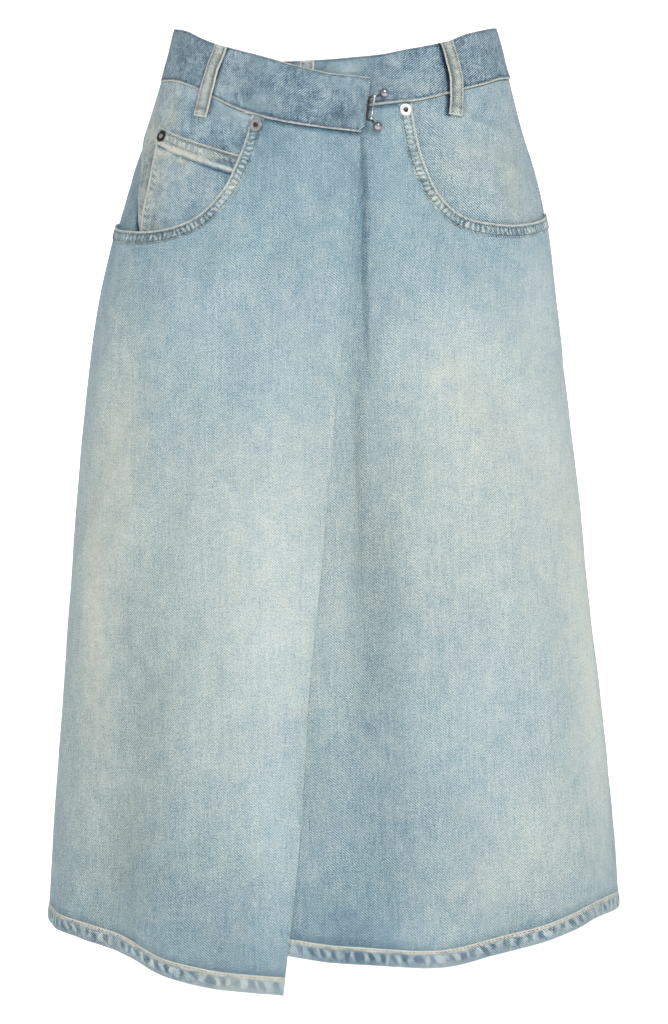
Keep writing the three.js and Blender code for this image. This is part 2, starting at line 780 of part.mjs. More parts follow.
function crossbar() {
  const { x, height, lean, halfLength, lift } = CROSSBAR;
  const meet = Math.asin(CROSSBAR_RADIUS / BEAD_RADIUS);
  const bead = (centre, from, to) => new THREE.Path().absarc(0, centre, BEAD_RADIUS, from, to, false).getPoints(4);
  const low = bead(-halfLength, -Math.PI / 2, Math.PI / 2 - meet);
  const high = bead(halfLength, meet - Math.PI / 2, Math.PI / 2);
  const bar = new THREE.LatheGeometry(onAxis([...low, ...high]), 12);
  bar.rotateX(Math.PI / 2).rotateY(lean);
  const mesh = new THREE.Mesh(bar, steel);
  mesh.name = 'closure_crossbar';
  mesh.position.copy(frontPoint(x, height, lift));
  return mesh;
}

const skirt = new THREE.Group();
skirt.add(...panels(), ...waistband(), ...pocketPieces(), ...pocketEdges());
skirt.add(...LOOPS.map(beltLoop), hiddenLoop(), ...rivets(), ...closure());

export default skirt;
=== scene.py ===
import math
from types import SimpleNamespace

import bpy
import numpy as np
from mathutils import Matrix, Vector


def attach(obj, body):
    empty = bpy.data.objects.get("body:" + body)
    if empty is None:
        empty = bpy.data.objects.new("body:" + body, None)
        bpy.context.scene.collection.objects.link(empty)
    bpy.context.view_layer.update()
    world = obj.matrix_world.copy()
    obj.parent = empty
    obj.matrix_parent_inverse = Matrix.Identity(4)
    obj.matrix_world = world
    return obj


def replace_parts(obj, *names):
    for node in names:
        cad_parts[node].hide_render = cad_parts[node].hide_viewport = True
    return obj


# A faded denim wrap skirt, filled out as if worn. Sizes are in millimetres until a mesh is made.
# A place on the cloth is a turn in degrees, 0 at the centre front and 90 at the wearer's left side,
# and a height over the waist seam's level at the sides. Right and left are the wearer's.

MM = 0.001

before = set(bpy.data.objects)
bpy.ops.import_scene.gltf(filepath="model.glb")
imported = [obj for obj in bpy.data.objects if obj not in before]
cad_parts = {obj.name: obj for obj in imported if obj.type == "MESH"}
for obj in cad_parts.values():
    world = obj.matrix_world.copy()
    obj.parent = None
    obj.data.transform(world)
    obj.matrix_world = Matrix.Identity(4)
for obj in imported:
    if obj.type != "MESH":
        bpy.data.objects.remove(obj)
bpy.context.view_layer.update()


def table(columns, values):
    """Named columns, each an array."""
    return dict(zip(columns.split(), np.array(values, float).T))


def rows(columns, values):
    """Named columns, a dict for each row."""
    return [dict(zip(columns.split(), np.array(row, float))) for row in values]


# The body surface and its folds, as in part.mjs

ROUNDNESS = 2.25
SECTIONS = table("height half_width shift front back", [
    (43, 130.2, 1.6, 86, 88),
    (0, 141.0, 1.6, 91, 94),
    (-40, 152.5, 0.8, 95, 102),
    (-80, 165.2, -0.5, 99, 110),
    (-116, 174.6, -1.8, 103, 117),
    (-140, 179.4, -2.8, 105, 121),
    (-181, 185.9, -5.2, 110, 126),
    (-222, 192.0, -6.6, 114, 129),
    (-264, 196.9, -7.0, 118, 131),
    (-347, 205.5, -5.7, 126, 134),
    (-430, 212.6, -4.5, 133, 137),
    (-513, 220.1, -2.8, 139, 141),
    (-596, 227.5, -1.2, 144, 145),
    (-700, 234.0, -0.8, 149, 150),
    (-740, 236.5, -0.6, 151, 152),
])
FOLDS = rows("start full top hem width spread depth hem_share", [
    (-62, -200, 7.5, 8.5, 3.2, 6, -8, 0.55),
    (-330, -640, 17, 16, 6, 7, 5, 1),
    (-400, -690, 31, 33, 7, 8, -6, 1),
    (-420, -680, 54, 55, 9, 10, 4, 1),
    (-300, -650, -26, -27, 7, 8, 7, 1),
    (-330, -660, -44, -45, 8, 8, -6, 1),
    (-380, -690, -64, -63, 9, 9, 3, 1),
    (-300, -680, 118, 120, 9, 10, 6, 1),
    (-340, -690, 139, 142, 9, 10, -7, 1),
    (-260, -640, 163, 164, 8, 10, 7, 1),
    (-360, -690, -174, -172, 8, 9, -6, 1),
    (-300, -660, -148, -150, 9, 10, 7, 1),
    (-330, -700, -126, -127, 9, 9, -6, 1),
])
SIDE_HEM_HEIGHT = -690

# Layers and cloth, as in part.mjs

CLOTH = 1.2
BAND_CLOTH = 2.6
LOOP_CLOTH = 1.8
LAYER_GAP = 0.45
REST = 0.45
FACING_LIFT = CLOTH + LAYER_GAP
COIN_LIFT = 2 * FACING_LIFT
FLAP_LIFT = 3 * FACING_LIFT
BAND_LIFT = 0.8
BAND_OVER_LIFT = BAND_CLOTH + CLOTH + 2 * LAYER_GAP
HEM_DEPTH = 15
HEM_IN = 0.8
HEM_OUT = 0.6
POCKET_EDGE_WIDTH = 10.5
LOOP_WIDTH = 11
LOOP_DROP = 18.6
BAND_DEPTH = 42
SEAM_GAP = 0.3
HEM_TOP = HEM_DEPTH - 1.5

# Where pieces end at the side seams, and where the stitching along them ends

RIGHT_END, LEFT_END, BACK_START, BACK_END = -89.99, 89.99, 90.01, 269.99
BACK_PANELS_START, BACK_PANELS_END = 90.02, 269.98
LEFT_OF_CENTRE, RIGHT_OF_CENTRE = 179.99, 180.01
RIGHT_STITCH, LEFT_STITCH, BACK_STITCH, BACK_STITCH_END = -89.8, 89.8, 90.2, 269.8
INNER_END = 89.98

RIGHT_WAIST = table("turn top seam", [
    (-90, 43, -2.5), (-61, 31, -10.5), (-45, 18.5, -21), (-25, 4.5, -42), (-11.5, -6, -52.4), (0, -13, -58),
    (11, -18, -62),
])
LEFT_WAIST = table("turn top seam", [
    (-20, -3, -40), (0, 0.2, -38.5), (12, 3.4, -36.8), (22, 9, -33), (37, 17, -23.5), (48, 25.5, -17),
    (66, 34.5, -7), (90, 43, 1),
])
BACK_WAIST = table("turn top seam", [
    (90, 43, 1), (120, 37.5, -4), (150, 32, -10), (180, 30, -12), (210, 32, -10), (240, 37.5, -6),
    (270, 43, -2.5),
])
FLAP_HEM = table("turn hem", [
    (-90, -691), (-66, -691), (-56, -693), (-45, -699), (-38, -704), (-31, -711), (-24, -717), (-18, -721),
    (-8, -724.5),
])
UNDER_HEM = table("turn hem", [
    (-30, -688), (-8, -695), (1, -701), (10, -704.5), (18, -704), (28, -700), (38, -694.5), (48, -686.5),
    (60, -679), (75, -679), (90, -682),
])
BACK_HEM = table("turn hem", [(90, -682), (130, -683), (180, -686), (230, -687), (270, -691)])
FLAP_EDGE = table("height x", [
    (-58, 20), (-80, 20), (-140, 14.5), (-205, 9.2), (-280, 0.8), (-340, -4.3), (-405, -10), (-490, -18.4),
    (-610, -26), (-725, -38.3),
])
BAND_END = table("down x", [(0, 28), (0.45, 26.4), (0.82, 24.7), (1, 20.4)])
UNDER_EDGE_TOP, UNDER_EDGE_HEM, UNDER_BAND_END = -15.5, -27, -14.5
RIGHT_MOUTH = [(-21.6, -44), (-24.7, -138.9), (-35.2, -151.7), (-90, -118)]
LEFT_MOUTH = [(20.4, -36), (22.6, -145), (35.5, -142), (90, -109.5)]
FACING_FOOT = -148
SIDE_TOP = -6
FACING_EDGE = table("height turn", [
    (0, -89.9), (-40, -86), (-50, -80), (-58, -75.5), (-72, -69.7), (-100, -62.4), (-128, -56.8),
    (-148, -53.4),
])
COIN_OUTER, COIN_INNER, COIN_INNER_TURN, COIN_FOOT, COIN_HEM = -46.5, -79.5, -20.5, -146, 16.5
COIN_EDGE = table("height turn", [(-46, -62.4), (-60, -59.8), (-90, -57.2), (-116, -56.1), (-146, -53.6)])

# The front loops' top and foot turns and their sway

RIGHT_LOOP, LEFT_LOOP = (-37.5, -40.4, -0.4), (35.9, 35.2, 1.1)

# Stitch rows: how far each lies in from the edge, and how far apart the puckers beside them are

MOUTH_ROWS, MOUTH_PITCH = (2.4, 8.6), 4.0
COIN_HEM_ROWS, COIN_SIDE_ROWS, COIN_PITCH = (2.4, 3.8, 9.2, 10.6), (1.8, 7.4), 4.6
LOOP_ROW = 2.1
HEM_PITCH = 9.6

# A full turn as the patterns count it, and a distance that counts as far from any seam

ROUND = 6.28
FAR_OFF = 99.0

# Soft creases: a straight line on the cloth between two places, its half width and its depth outward

CREASES = rows("turn_a height_a turn_b height_b width depth", [
    (5.7, -66, 6.9, -112, 2.2, -2.0),
    (6.8, -100, 7.1, -168, 2.2, -2.2),
    (7.0, -150, 7.9, -232, 2.0, -2.0),
    (7.9, -215, 7.9, -300, 2.4, -1.5),
    (5.9, -225, 5.9, -330, 3.6, -1.6),
    (6.6, -300, 6.0, -470, 5.0, -2.4),
    (5.0, -84, 5.2, -190, 3.0, 0.9),
    (-17.5, -58, -8.0, -74, 2.0, 2.0),
    (-17.8, -61, -9.0, -82, 2.0, -2.6),
    (-18.3, -66, -11.5, -90, 2.2, 2.2),
    (-18.8, -74, -13.0, -106, 2.6, -2.0),
    (-19.2, -88, -15.0, -126, 3.0, 1.4),
    (-6.5, -66, -12.0, -86, 3.0, -1.2),
    (-2.5, -64, 1.0, -100, 4.0, 1.0),
    (-9.0, -100, -10.0, -170, 5.0, -1.0),
    (-14.0, -110, -15.0, -190, 5.0, 1.0),
    (22.5, -49, 27.0, -64, 1.3, 1.8),
    (23.8, -48, 28.4, -62, 1.2, -1.6),
    (25.2, -48, 29.4, -60, 1.2, 1.2),
    (24.0, -60, 31.0, -84, 2.6, -1.0),
    (30, -44, 38, -58, 4.0, 1.0),
    (40, -34, 58, -48, 4.0, -1.6),
    (40, -44, 66, -60, 5.0, 1.9),
    (54, -66, 80, -80, 6.0, -1.6),
    (-30, -60, -46, -44, 3.0, -1.2),
    (-28, -58, -38, -52, 2.6, 1.0),
    (-26, -100, -45, -125, 5.0, -1.0),
    (-62, -40, -75, -20, 5.0, 1.2),
    (-43, -676, -36, -698, 2.4, -1.6),
    (-46, -668, -40, -684, 4.0, 1.2),
    (-30, -150, -42, -230, 11, 1.2),
    (-18, -160, -24, -300, 14, -1.2),
    (30, -150, 42, -240, 12, 1.2),
    (50, -150, 60, -260, 14, -1.2),
    (-60, -150, -66, -330, 14, 1.2),
    (20, -200, 22, -420, 12, -1.0),
    (120, -40, 130, -120, 8, 1.3),
    (150, -40, 145, -140, 9, -1.4),
    (172, -30, 176, -90, 5, 1.0),
    (190, -30, 186, -100, 5, -1.0),
    (215, -40, 222, -140, 9, -1.4),
    (240, -40, 232, -120, 8, 1.3),
])


def ease(start, end, value):
    share = np.clip((value - start) / (end - start), 0, 1)
    return share * share * (3 - 2 * share)


def mix(a, b, share):
    return a + (b - a) * share


def bell(value, centre, width):
    """One at the centre, and falling away smoothly on both sides of it."""
    return np.exp(-((value - centre) / width) ** 2)


def bells(value, centres, width):
    return sum(bell(value, centre, width) for centre in centres)


def wave(value, length, shift=0.0):
    return np.sin(value / length * ROUND + shift)


def arch(share):
    return np.sin(np.pi * np.clip(share, 0, 1)) ** 0.75


def read(source, key, column, at):
    """A smooth curve through one column of a table, against another that rises or falls steadily."""
    keys, values = source[key], source[column]
    if keys[-1] < keys[0]:
        keys, at = -keys, -np.asarray(at, float)
    last = len(keys) - 1
    i = np.clip(np.searchsorted(keys, at) - 1, 0, last - 1)
    low, high = np.maximum(np.arange(last + 1) - 1, 0), np.minimum(np.arange(last + 1) + 1, last)
    slope = (values[high] - values[low]) / (keys[high] - keys[low])
    span = keys[i + 1] - keys[i]
    t = np.clip((at - keys[i]) / span, -0.5, 1.5)
    t2, t3 = t * t, t * t * t
    return (
        (2 * t3 - 3 * t2 + 1) * values[i] + (t3 - 2 * t2 + t) * span * slope[i]
        + (3 * t2 - 2 * t3) * values[i + 1] + (t3 - t2) * span * slope[i + 1]
    )


def fold_depth(turn, height):
    total = 0
    for fold in FOLDS:
        down = np.clip((fold["start"] - height) / (fold["start"] - SIDE_HEM_HEIGHT), 0, 1)
        off = (turn - mix(fold["top"], fold["hem"], down) + 180) % 360 - 180
        off = off / mix(fold["width"], fold["spread"], down)
        left = mix(1, fold["hem_share"], ease(0.55, 1, down))
        total = total + fold["depth"] * ease(fold["start"], fold["full"], height) * left * np.exp(-off * off)
    return total


def body(turn, height):
    half_width, shift, front, back = (
        read(SECTIONS, "height", key, height) for key in ("half_width", "shift", "front", "back")
    )
    sine, cosine = np.sin(np.radians(turn)), np.cos(np.radians(turn))
    depth = np.where(cosine > 0, front, back)
    x = np.sign(sine) * np.abs(sine) ** (2 / ROUNDNESS)
    y = -np.sign(cosine) * np.abs(cosine) ** (2 / ROUNDNESS)
    nx = np.sign(x) * np.abs(x) ** (ROUNDNESS - 1) / half_width
    ny = np.sign(y) * np.abs(y) ** (ROUNDNESS - 1) / depth
    push = fold_depth(turn, height) / np.hypot(nx, ny)
    return np.stack([shift + half_width * x + nx * push, depth * y + ny * push, height + 0 * turn], -1)


def along_turn(turn, height):
    return (body(turn + 0.4, height) - body(turn - 0.4, height)) / 0.8


def degree(turn, height):
    """The millimetres of cloth in a degree of turn."""
    return np.linalg.norm(along_turn(turn, height), axis=-1)


def outward(turn, height):
    rise = body(turn, height + 1.5) - body(turn, height - 1.5)
    normal = np.cross(along_turn(turn, height), rise)
    return normal / np.linalg.norm(normal, axis=-1, keepdims=True)


def skin(turn, height, lift):
    turn, height, lift = np.broadcast_arrays(*(np.asarray(v, float) for v in (turn, height, lift)))
    return body(turn, height) + outward(turn, height) * lift[..., None]


def turn_at(x, height):
    """The turn at which the front of the body surface has a given x."""
    off = (x - read(SECTIONS, "height", "shift", height)) / read(SECTIONS, "height", "half_width", height)
    return np.degrees(np.sign(off) * np.arcsin(np.abs(off) ** (ROUNDNESS / 2)))


# The girth, in millimetres of cloth from the centre front, so that patterns keep their size on the flare

GIRTH_STEP = 20.0
GIRTH_TURNS = np.arange(-120, 300.5, 1.0)
GIRTH_HEIGHTS = np.arange(-740, 60, GIRTH_STEP)
girths = np.cumsum(degree(*np.meshgrid(GIRTH_TURNS, GIRTH_HEIGHTS)), axis=1)
girths -= girths[:, [int(-GIRTH_TURNS[0])]]


def girth(turn, height):
    across = np.clip(turn - GIRTH_TURNS[0], 0, len(GIRTH_TURNS) - 1.001)
    down = np.clip((height - GIRTH_HEIGHTS[0]) / GIRTH_STEP, 0, len(GIRTH_HEIGHTS) - 1.001)
    i, j = across.astype(int), down.astype(int)
    low = mix(girths[j, i], girths[j, i + 1], across - i)
    high = mix(girths[j + 1, i], girths[j + 1, i + 1], across - i)
    return mix(low, high, down - j)


# Small relief that every layer shares, so that layers never cross: a soft unevenness, and the listed creases

random = np.random.default_rng(12)
WAVES = [
    (math.cos(a) * ROUND / length, math.sin(a) * ROUND / length, phase, 0.0042 * length)
    for a, length, phase in zip(*(random.uniform(*ends, 26) for ends in ((-0.9, 0.9), (22, 85), (0, ROUND))))
]


def relief(turn, height):
    u = girth(turn, height)
    total = sum(amount * np.sin(a * u + b * height + phase) for a, b, phase, amount in WAVES)
    for side, calm in ((-90, 1), (90, 0.7), (270, 1)):
        total = total * (1 - calm * bell(turn, side, 16))
    for crease in CREASES:
        start, end = (
            np.array([girth(crease["turn" + at], crease["height" + at]), crease["height" + at]])
            for at in ("_a", "_b")
        )
        way = end - start
        share = np.clip(((u - start[0]) * way[0] + (height - start[1]) * way[1]) / (way @ way), 0, 1)
        off = np.hypot(u - start[0] - share * way[0], height - start[1] - share * way[1]) / crease["width"]
        strength = 0.35 + 0.65 * np.sin(np.pi * np.clip(share, 0.02, 0.98))
        total = total + crease["depth"] * np.exp(-off * off) * strength
    return total


TRIM = np.array([0.25, 0.6, 1.1, 1.8, 2.7])


def steps(length, step, low=0.0, high=1.0):
    """Even steps, with the closer ones at both ends that a rounded edge needs."""
    inner = np.linspace(0, 1, max(4, int(length / step)) + 1)[1:-1]
    edge = TRIM / length
    inner = inner[(inner > 1.4 * edge[-1]) & (inner < 1 - 1.4 * edge[-1])]
    return mix(low, high, np.concatenate([[0], edge, inner, 1 - edge[::-1], [1]]))


# The wash: how faded the cloth is, and how far its blue has gone grey, by height and in soft patches.
# A few patches, marked where they stand, are painted light and shade instead.

WASH = table("height fade grey", [
    (50, -0.02, 0.1), (-60, -0.05, 0.05), (-110, -0.06, 0.05), (-170, -0.03, 0.15), (-240, 0.01, 0.4),
    (-330, 0.02, 0.7), (-450, 0.01, 0.8), (-560, -0.01, 0.7), (-640, -0.06, 0.5), (-690, -0.12, 0.3),
    (-740, -0.16, 0.3),
])
FRONT_PATCHES = rows("x height wide tall fade grey", [
    (-34, -385, 34, 120, 0.13, -0.05),
    (-76, -417, 42, 100, 0.05, 0.1),
    (-60, -500, 40, 70, 0.03, 0.0),
    (-45, -78, 60, 26, -0.06, -0.1),
    (-88, -80, 16, 24, -0.05, 0.0),
    (-65, -259, 42, 34, -0.03, -0.3),
    (-150, -185, 30, 40, -0.06, 0.1),
    (-168, -300, 22, 100, 0.02, 0.9),
    (-190, -420, 22, 110, 0.02, 0.9),
    (-148, -490, 30, 60, -0.05, 0.1),
    (-125, -645, 60, 35, -0.06, 0.0),
    # Painted shade: a dark line down the crease beside the flap's edge, in short steps.
    (22.4, -84, 1.9, 13, -0.13, 0.2),
    (24.0, -104, 2.0, 13, -0.15, 0.2),
    (24.2, -124, 2.0, 13, -0.15, 0.2),
    (24.3, -145, 2.0, 14, -0.15, 0.2),
    (24.5, -167, 2.0, 14, -0.15, 0.2),
    (25.1, -190, 2.0, 14, -0.14, 0.2),
    (25.8, -212, 2.2, 14, -0.15, 0.2),
    (26.3, -236, 2.6, 16, -0.12, 0.2),
    (5, -55, 16, 14, -0.09, 0.0),
    (8, -95, 12, 26, -0.05, 0.0),
    # Darker in the crease valleys beside the right rivet: painted shade, partly unfaded cloth.
    (-52, -57, 7, 7, -0.13, -0.1),
    (-40, -66, 9, 8, -0.08, -0.1),
    # Painted shade in the fold beside the flap's edge.
    (21, -150, 9, 90, -0.12, 0.0),
    (20, -300, 6, 70, -0.12, 0.2),
    (26, -420, 18, 130, -0.10, 0.1),
    (16, -600, 40, 110, -0.10, -0.25),
    (40, -690, 70, 30, -0.06, -0.2),
    (100, -255, 42, 50, 0.08, 0.35),
    (85, -260, 24, 90, 0.03, 0.0),
    (128, -320, 60, 120, 0.07, 0.2),
    (125, -500, 60, 110, 0.07, 0.0),
    (120, -646, 45, 28, 0.10, 0.4),
    (165, -610, 40, 50, 0.08, 0.5),
    # Painted light: the right flank is made lighter, as light from the right would light it.
    (196, -420, 34, 170, 0.14, 0.3),
    (165, -185, 34, 50, 0.10, 0.2),
    (80, -684, 44, 20, 0.14, 0.2),
    (-46, -540, 22, 130, 0.08, -0.3),
    (-178, -590, 40, 110, -0.04, 0.5),
    (-150, -560, 40, 90, -0.03, 0.0),
    (-38, -640, 24, 60, 0.07, -0.1),
    (120, -520, 90, 110, 0.0, -0.45),
    # Painted shade in the fold beside the flap's edge.
    (44, -450, 20, 140, -0.06, 0.0),
    (162, -300, 26, 110, 0.09, 0.0),
    (210, -540, 26, 120, 0.15, 0.1),
    (82, -60, 30, 26, 0.03, 0.1),
])
BACK_PATCHES = rows("turn height wide tall fade grey", [
    (140, -150, 60, 80, 0.07, 0.3),
    (220, -150, 60, 80, 0.07, 0.3),
    (180, -100, 30, 60, -0.05, 0.0),
    (150, -430, 70, 140, 0.06, 0.1),
    (212, -450, 70, 140, 0.05, 0.1),
    (120, -300, 50, 90, -0.05, 0.0),
    (242, -330, 50, 90, -0.05, 0.0),
    (180, -600, 50, 90, -0.05, -0.1),
])

# Painted shadow on the cloth beside the two front loops, partly unfaded cloth there,
# placed as the loops are seen from the front

LOOP_SIDE_SHADOWS = rows("top foot sway lean high low right left", [
    (*RIGHT_LOOP, -2.0, 13.5, -42.5, 0.26, 0.34),
    (*LEFT_LOOP, 2.4, 16, -43, 0.75, 0.2),
])


def wash(turn, height, more=()):
    """The fading of a place with its painted light and shade, and its grey, with a piece's own patches as
    more.
    """
    u = girth(turn, height)
    fade, grey = (read(WASH, "height", key, height) for key in ("fade", "grey"))
    for patch in [*FRONT_PATCHES, *BACK_PATCHES, *more]:
        at = turn_at(patch["x"], patch["height"]) if "x" in patch else patch["turn"]
        near = bell(u, girth(at, patch["height"]), patch["wide"])
        near = near * bell(height, patch["height"], patch["tall"])
        fade, grey = fade + patch["fade"] * near, grey + patch["grey"] * near
    # Painted shadow beside the two front loops.
    for loop in LOOP_SIDE_SHADOWS:
        share = np.clip((loop["high"] - height) / (loop["high"] - loop["low"]), -0.2, 1.2)
        middle = mix(loop["top"], loop["foot"], share) + loop["sway"] * arch(share)
        off = (turn - middle) * degree(turn, height) - loop["lean"] * arch(share)
        beside = bell(np.abs(off), LOOP_WIDTH / 2 + 0.6, 2.0)
        beside = beside * ease(-0.05, 0.02, share) * ease(1.04, 0.97, share)
        fade = fade - np.where(off < 0, loop["right"], loop["left"]) * beside
    return fade, grey


# Meshes

def new_mesh(name, points, faces, material, attributes=()):
    mesh = bpy.data.meshes.new(name)
    faces = faces.tolist() if isinstance(faces, np.ndarray) else faces
    mesh.from_pydata((np.asarray(points) * MM).tolist(), [], faces)
    for key, values in dict(attributes).items():
        values = np.asarray(values, np.float32)
        vector = values.ndim == 2
        made = mesh.attributes.new(key, "FLOAT_VECTOR" if vector else "FLOAT", "POINT")
        made.data.foreach_set("vector" if vector else "value", values.ravel())
    mesh.update()
    mesh.shade_smooth()
    mesh.materials.append(material)
    made = bpy.data.objects.new(name, mesh)
    bpy.context.scene.collection.objects.link(made)
    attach(made, "root")
    return made


def closed(down, across):
    """Quads of a wall whose outer points come first, row by row from the top, and then its inner ones."""
    shift = down * across
    a = (np.arange(down - 1)[:, None] * across + np.arange(across - 1)).ravel()
    top, near = np.arange(across - 1), np.arange(down - 1) * across
    foot, far = (down - 1) * across + top, near + across - 1
    return np.concatenate([np.stack(corners, 1) for corners in (
        (a, a + across, a + across + 1, a + 1),
        (a + shift, a + shift + 1, a + shift + across + 1, a + shift + across),
        (top, top + 1, top + 1 + shift, top + shift),
        (foot, foot + shift, foot + shift + 1, foot + 1),
        (near, near + shift, near + shift + across, near + across),
        (far, far + across, far + across + shift, far + shift),
    )])


def wall(name, place, across, down, inner, cloth, slot, look, extra=None, round_at="top foot left right",
         marks=lambda at: (0, FAR_OFF, FAR_OFF), bolt=0, patches=(), shade=None):
    """A cloth wall: place gives each grid point's turn and height, inner its lift and cloth its thickness.

    extra is more relief of its outer side, marks its seam marks, bolt tells its weave from other pieces',
    patches are its own soft patches of fading and of painted light and shade, and shade is painted
    shade that darkens it and turns it bluer beside its seams, in its grooves and under what overhangs it,
    partly standing for unfaded cloth there. These take the grid's places: shares s and t, turn, height,
    girth u and the ways from its four edges."""
    s, t = np.meshgrid(across, down)
    turn, height = np.broadcast_arrays(*place(s, t))
    low = (inner(turn, height) if callable(inner) else inner) + 0 * turn
    middle = skin(turn, height, low)
    top = np.cumsum(np.pad(np.linalg.norm(np.diff(middle, axis=0), axis=-1), ((1, 0), (0, 0))), axis=0)
    left = np.cumsum(np.pad(np.linalg.norm(np.diff(middle, axis=1), axis=-1), ((0, 0), (1, 0))), axis=1)
    at = SimpleNamespace(s=s, t=t, turn=turn, height=height, u=girth(turn, height), top=top, left=left,
                         foot=top[-1:] - top, right=left[:, -1:] - left)
    thick = (cloth(at) if callable(cloth) else cloth) + 0 * turn
    bend = thick / 2
    near = np.minimum.reduce([getattr(at, side) for side in round_at.split()])
    drop = bend * (1 - np.sqrt(np.clip(1 - (1 - np.clip(near / bend, 0, 1)) ** 2, 0, 1)))
    small = relief(turn, height)
    outer = skin(turn, height, low + thick - 0.9 * drop + small + (extra(at) if extra else 0))
    inside = skin(turn, height, low + 0.9 * drop + small)
    points = np.concatenate([outer.reshape(-1, 3), inside.reshape(-1, 3)])
    faces = closed(*turn.shape)
    corner = points[faces]
    if np.einsum("ij,ij->", corner[:, 0], np.cross(corner[:, 1], corner[:, 2])) < 0:
        faces = faces[:, ::-1]
    weave = np.stack(np.broadcast_arrays(at.u, -height, 1000 * bolt), -1)
    seam = np.stack(np.broadcast_arrays(*marks(at), turn)[:3], -1)
    fade, grey = wash(turn, height, patches)
    # Painted shade: where shade falls the cloth is made darker, and bluer where it is deep.
    if shade:
        painted_shade = shade(at)
        fade, grey = fade - painted_shade, grey - 2.4 * np.clip(painted_shade - 0.25, 0, None)
    attributes = {
        "weave": np.tile(weave.reshape(-1, 3), (2, 1)) * MM,
        "seam": np.tile(seam.reshape(-1, 3), (2, 1)) * MM,
        "fade": np.tile(fade.ravel(), 2),
        "grey": np.tile(grey.ravel(), 2),
        "inside": np.repeat([0.0, 1.0], turn.size),
    }
    return new_mesh(name, points, faces, look, attributes)


# Node materials

class Tree:
    """Short calls for building a material's nodes."""

    def __init__(self, name):
        self.material = bpy.data.materials.new(name)
        self.material.use_nodes = True
        self.nodes, self.links = self.material.node_tree.nodes, self.material.node_tree.links
        self.shader = self.nodes["Principled BSDF"]

    def put(self, socket, value):
        if isinstance(value, bpy.types.NodeSocket):
            self.links.new(value, socket)
        else:
            socket.default_value = value

    def add(self, kind, output=0, inputs=(), **settings):
        made = self.nodes.new(kind)
        for key, value in settings.items():
            setattr(made, key, value)
        for key, value in dict(inputs).items():
            self.put(made.inputs[key], value)
        return made.outputs[output]

    def read(self, name, output="Vector"):
        return self.add("ShaderNodeAttribute", output, attribute_name=name)

    def maths(self, operation, a, b=0.0):
        return self.add("ShaderNodeMath", 0, {0: a, 1: b}, operation=operation)

    def times(self, a, b):
        return self.maths("MULTIPLY", a, b)

    def sum(self, *parts):
        """The sum of the parts, each a value or a value with its weight."""
        values = [self.times(*part) if isinstance(part, tuple) else part for part in parts]
        total = values[0]
        for value in values[1:]:
            total = self.maths("ADD", total, value)
        return total

    def between(self, value, low, high, start=0.0, end=1.0):
        inputs = {0: value, 1: low, 2: high, 3: start, 4: end}
        return self.add("ShaderNodeMapRange", 0, inputs, interpolation_type="SMOOTHSTEP")

    def noise(self, vector, scale, detail=2.0, rough=0.5):
        """Noise about zero, whose cells measure scale, in millimetres."""
        sized = self.add("ShaderNodeMapping", 0, {"Vector": vector, "Scale": [1 / (v * MM) for v in scale]})
        made = self.add(
            "ShaderNodeTexNoise", 0, {"Vector": sized, "Scale": 1.0, "Detail": detail, "Roughness": rough})
        return self.maths("SUBTRACT", made, 0.5)

    def ramp(self, value, stops):
        made = self.nodes.new("ShaderNodeValToRGB")
        elements = made.color_ramp.elements
        while len(elements) < len(stops):
            elements.new(0.5)
        for element, (at, colour) in zip(elements, stops):
            element.position, element.color = at, (*linear(colour), 1)
        self.put(made.inputs[0], value)
        return made.outputs[0]

    def mixed(self, share, a, b):
        a, b = (v if isinstance(v, bpy.types.NodeSocket) else (*linear(v), 1) for v in (a, b))
        return self.add("ShaderNodeMix", 2, {0: share, 6: a, 7: b}, data_type="RGBA", clamp_factor=True)

    def bump(self, height, distance):
        made = self.add("ShaderNodeBump", 0, {"Height": height, "Distance": distance, "Strength": 1.0})
        self.surface({"Normal": made})

    def surface(self, values):
        for key, value in values.items():
            self.put(self.shader.inputs[key], value)


def linear(colour):
    return [(v / 12.92 if v <= 0.04045 else ((v + 0.055) / 1.055) ** 2.4) for v in (c / 255 for c in colour)]


BLUE = [
    (0.00, (46, 66, 88)),
    (0.20, (79, 108, 125)),
    (0.40, (117, 147, 162)),
    (0.60, (152, 180, 192)),
    (0.80, (188, 207, 213)),
    (1.00, (222, 230, 230)),
]
GREY = [
    (0.00, (60, 76, 82)),
    (0.20, (96, 114, 118)),
    (0.40, (136, 153, 153)),
    (0.60, (171, 187, 186)),
    (0.80, (200, 212, 209)),
    (1.00, (230, 233, 222)),
]
CREAM = (222, 222, 210)


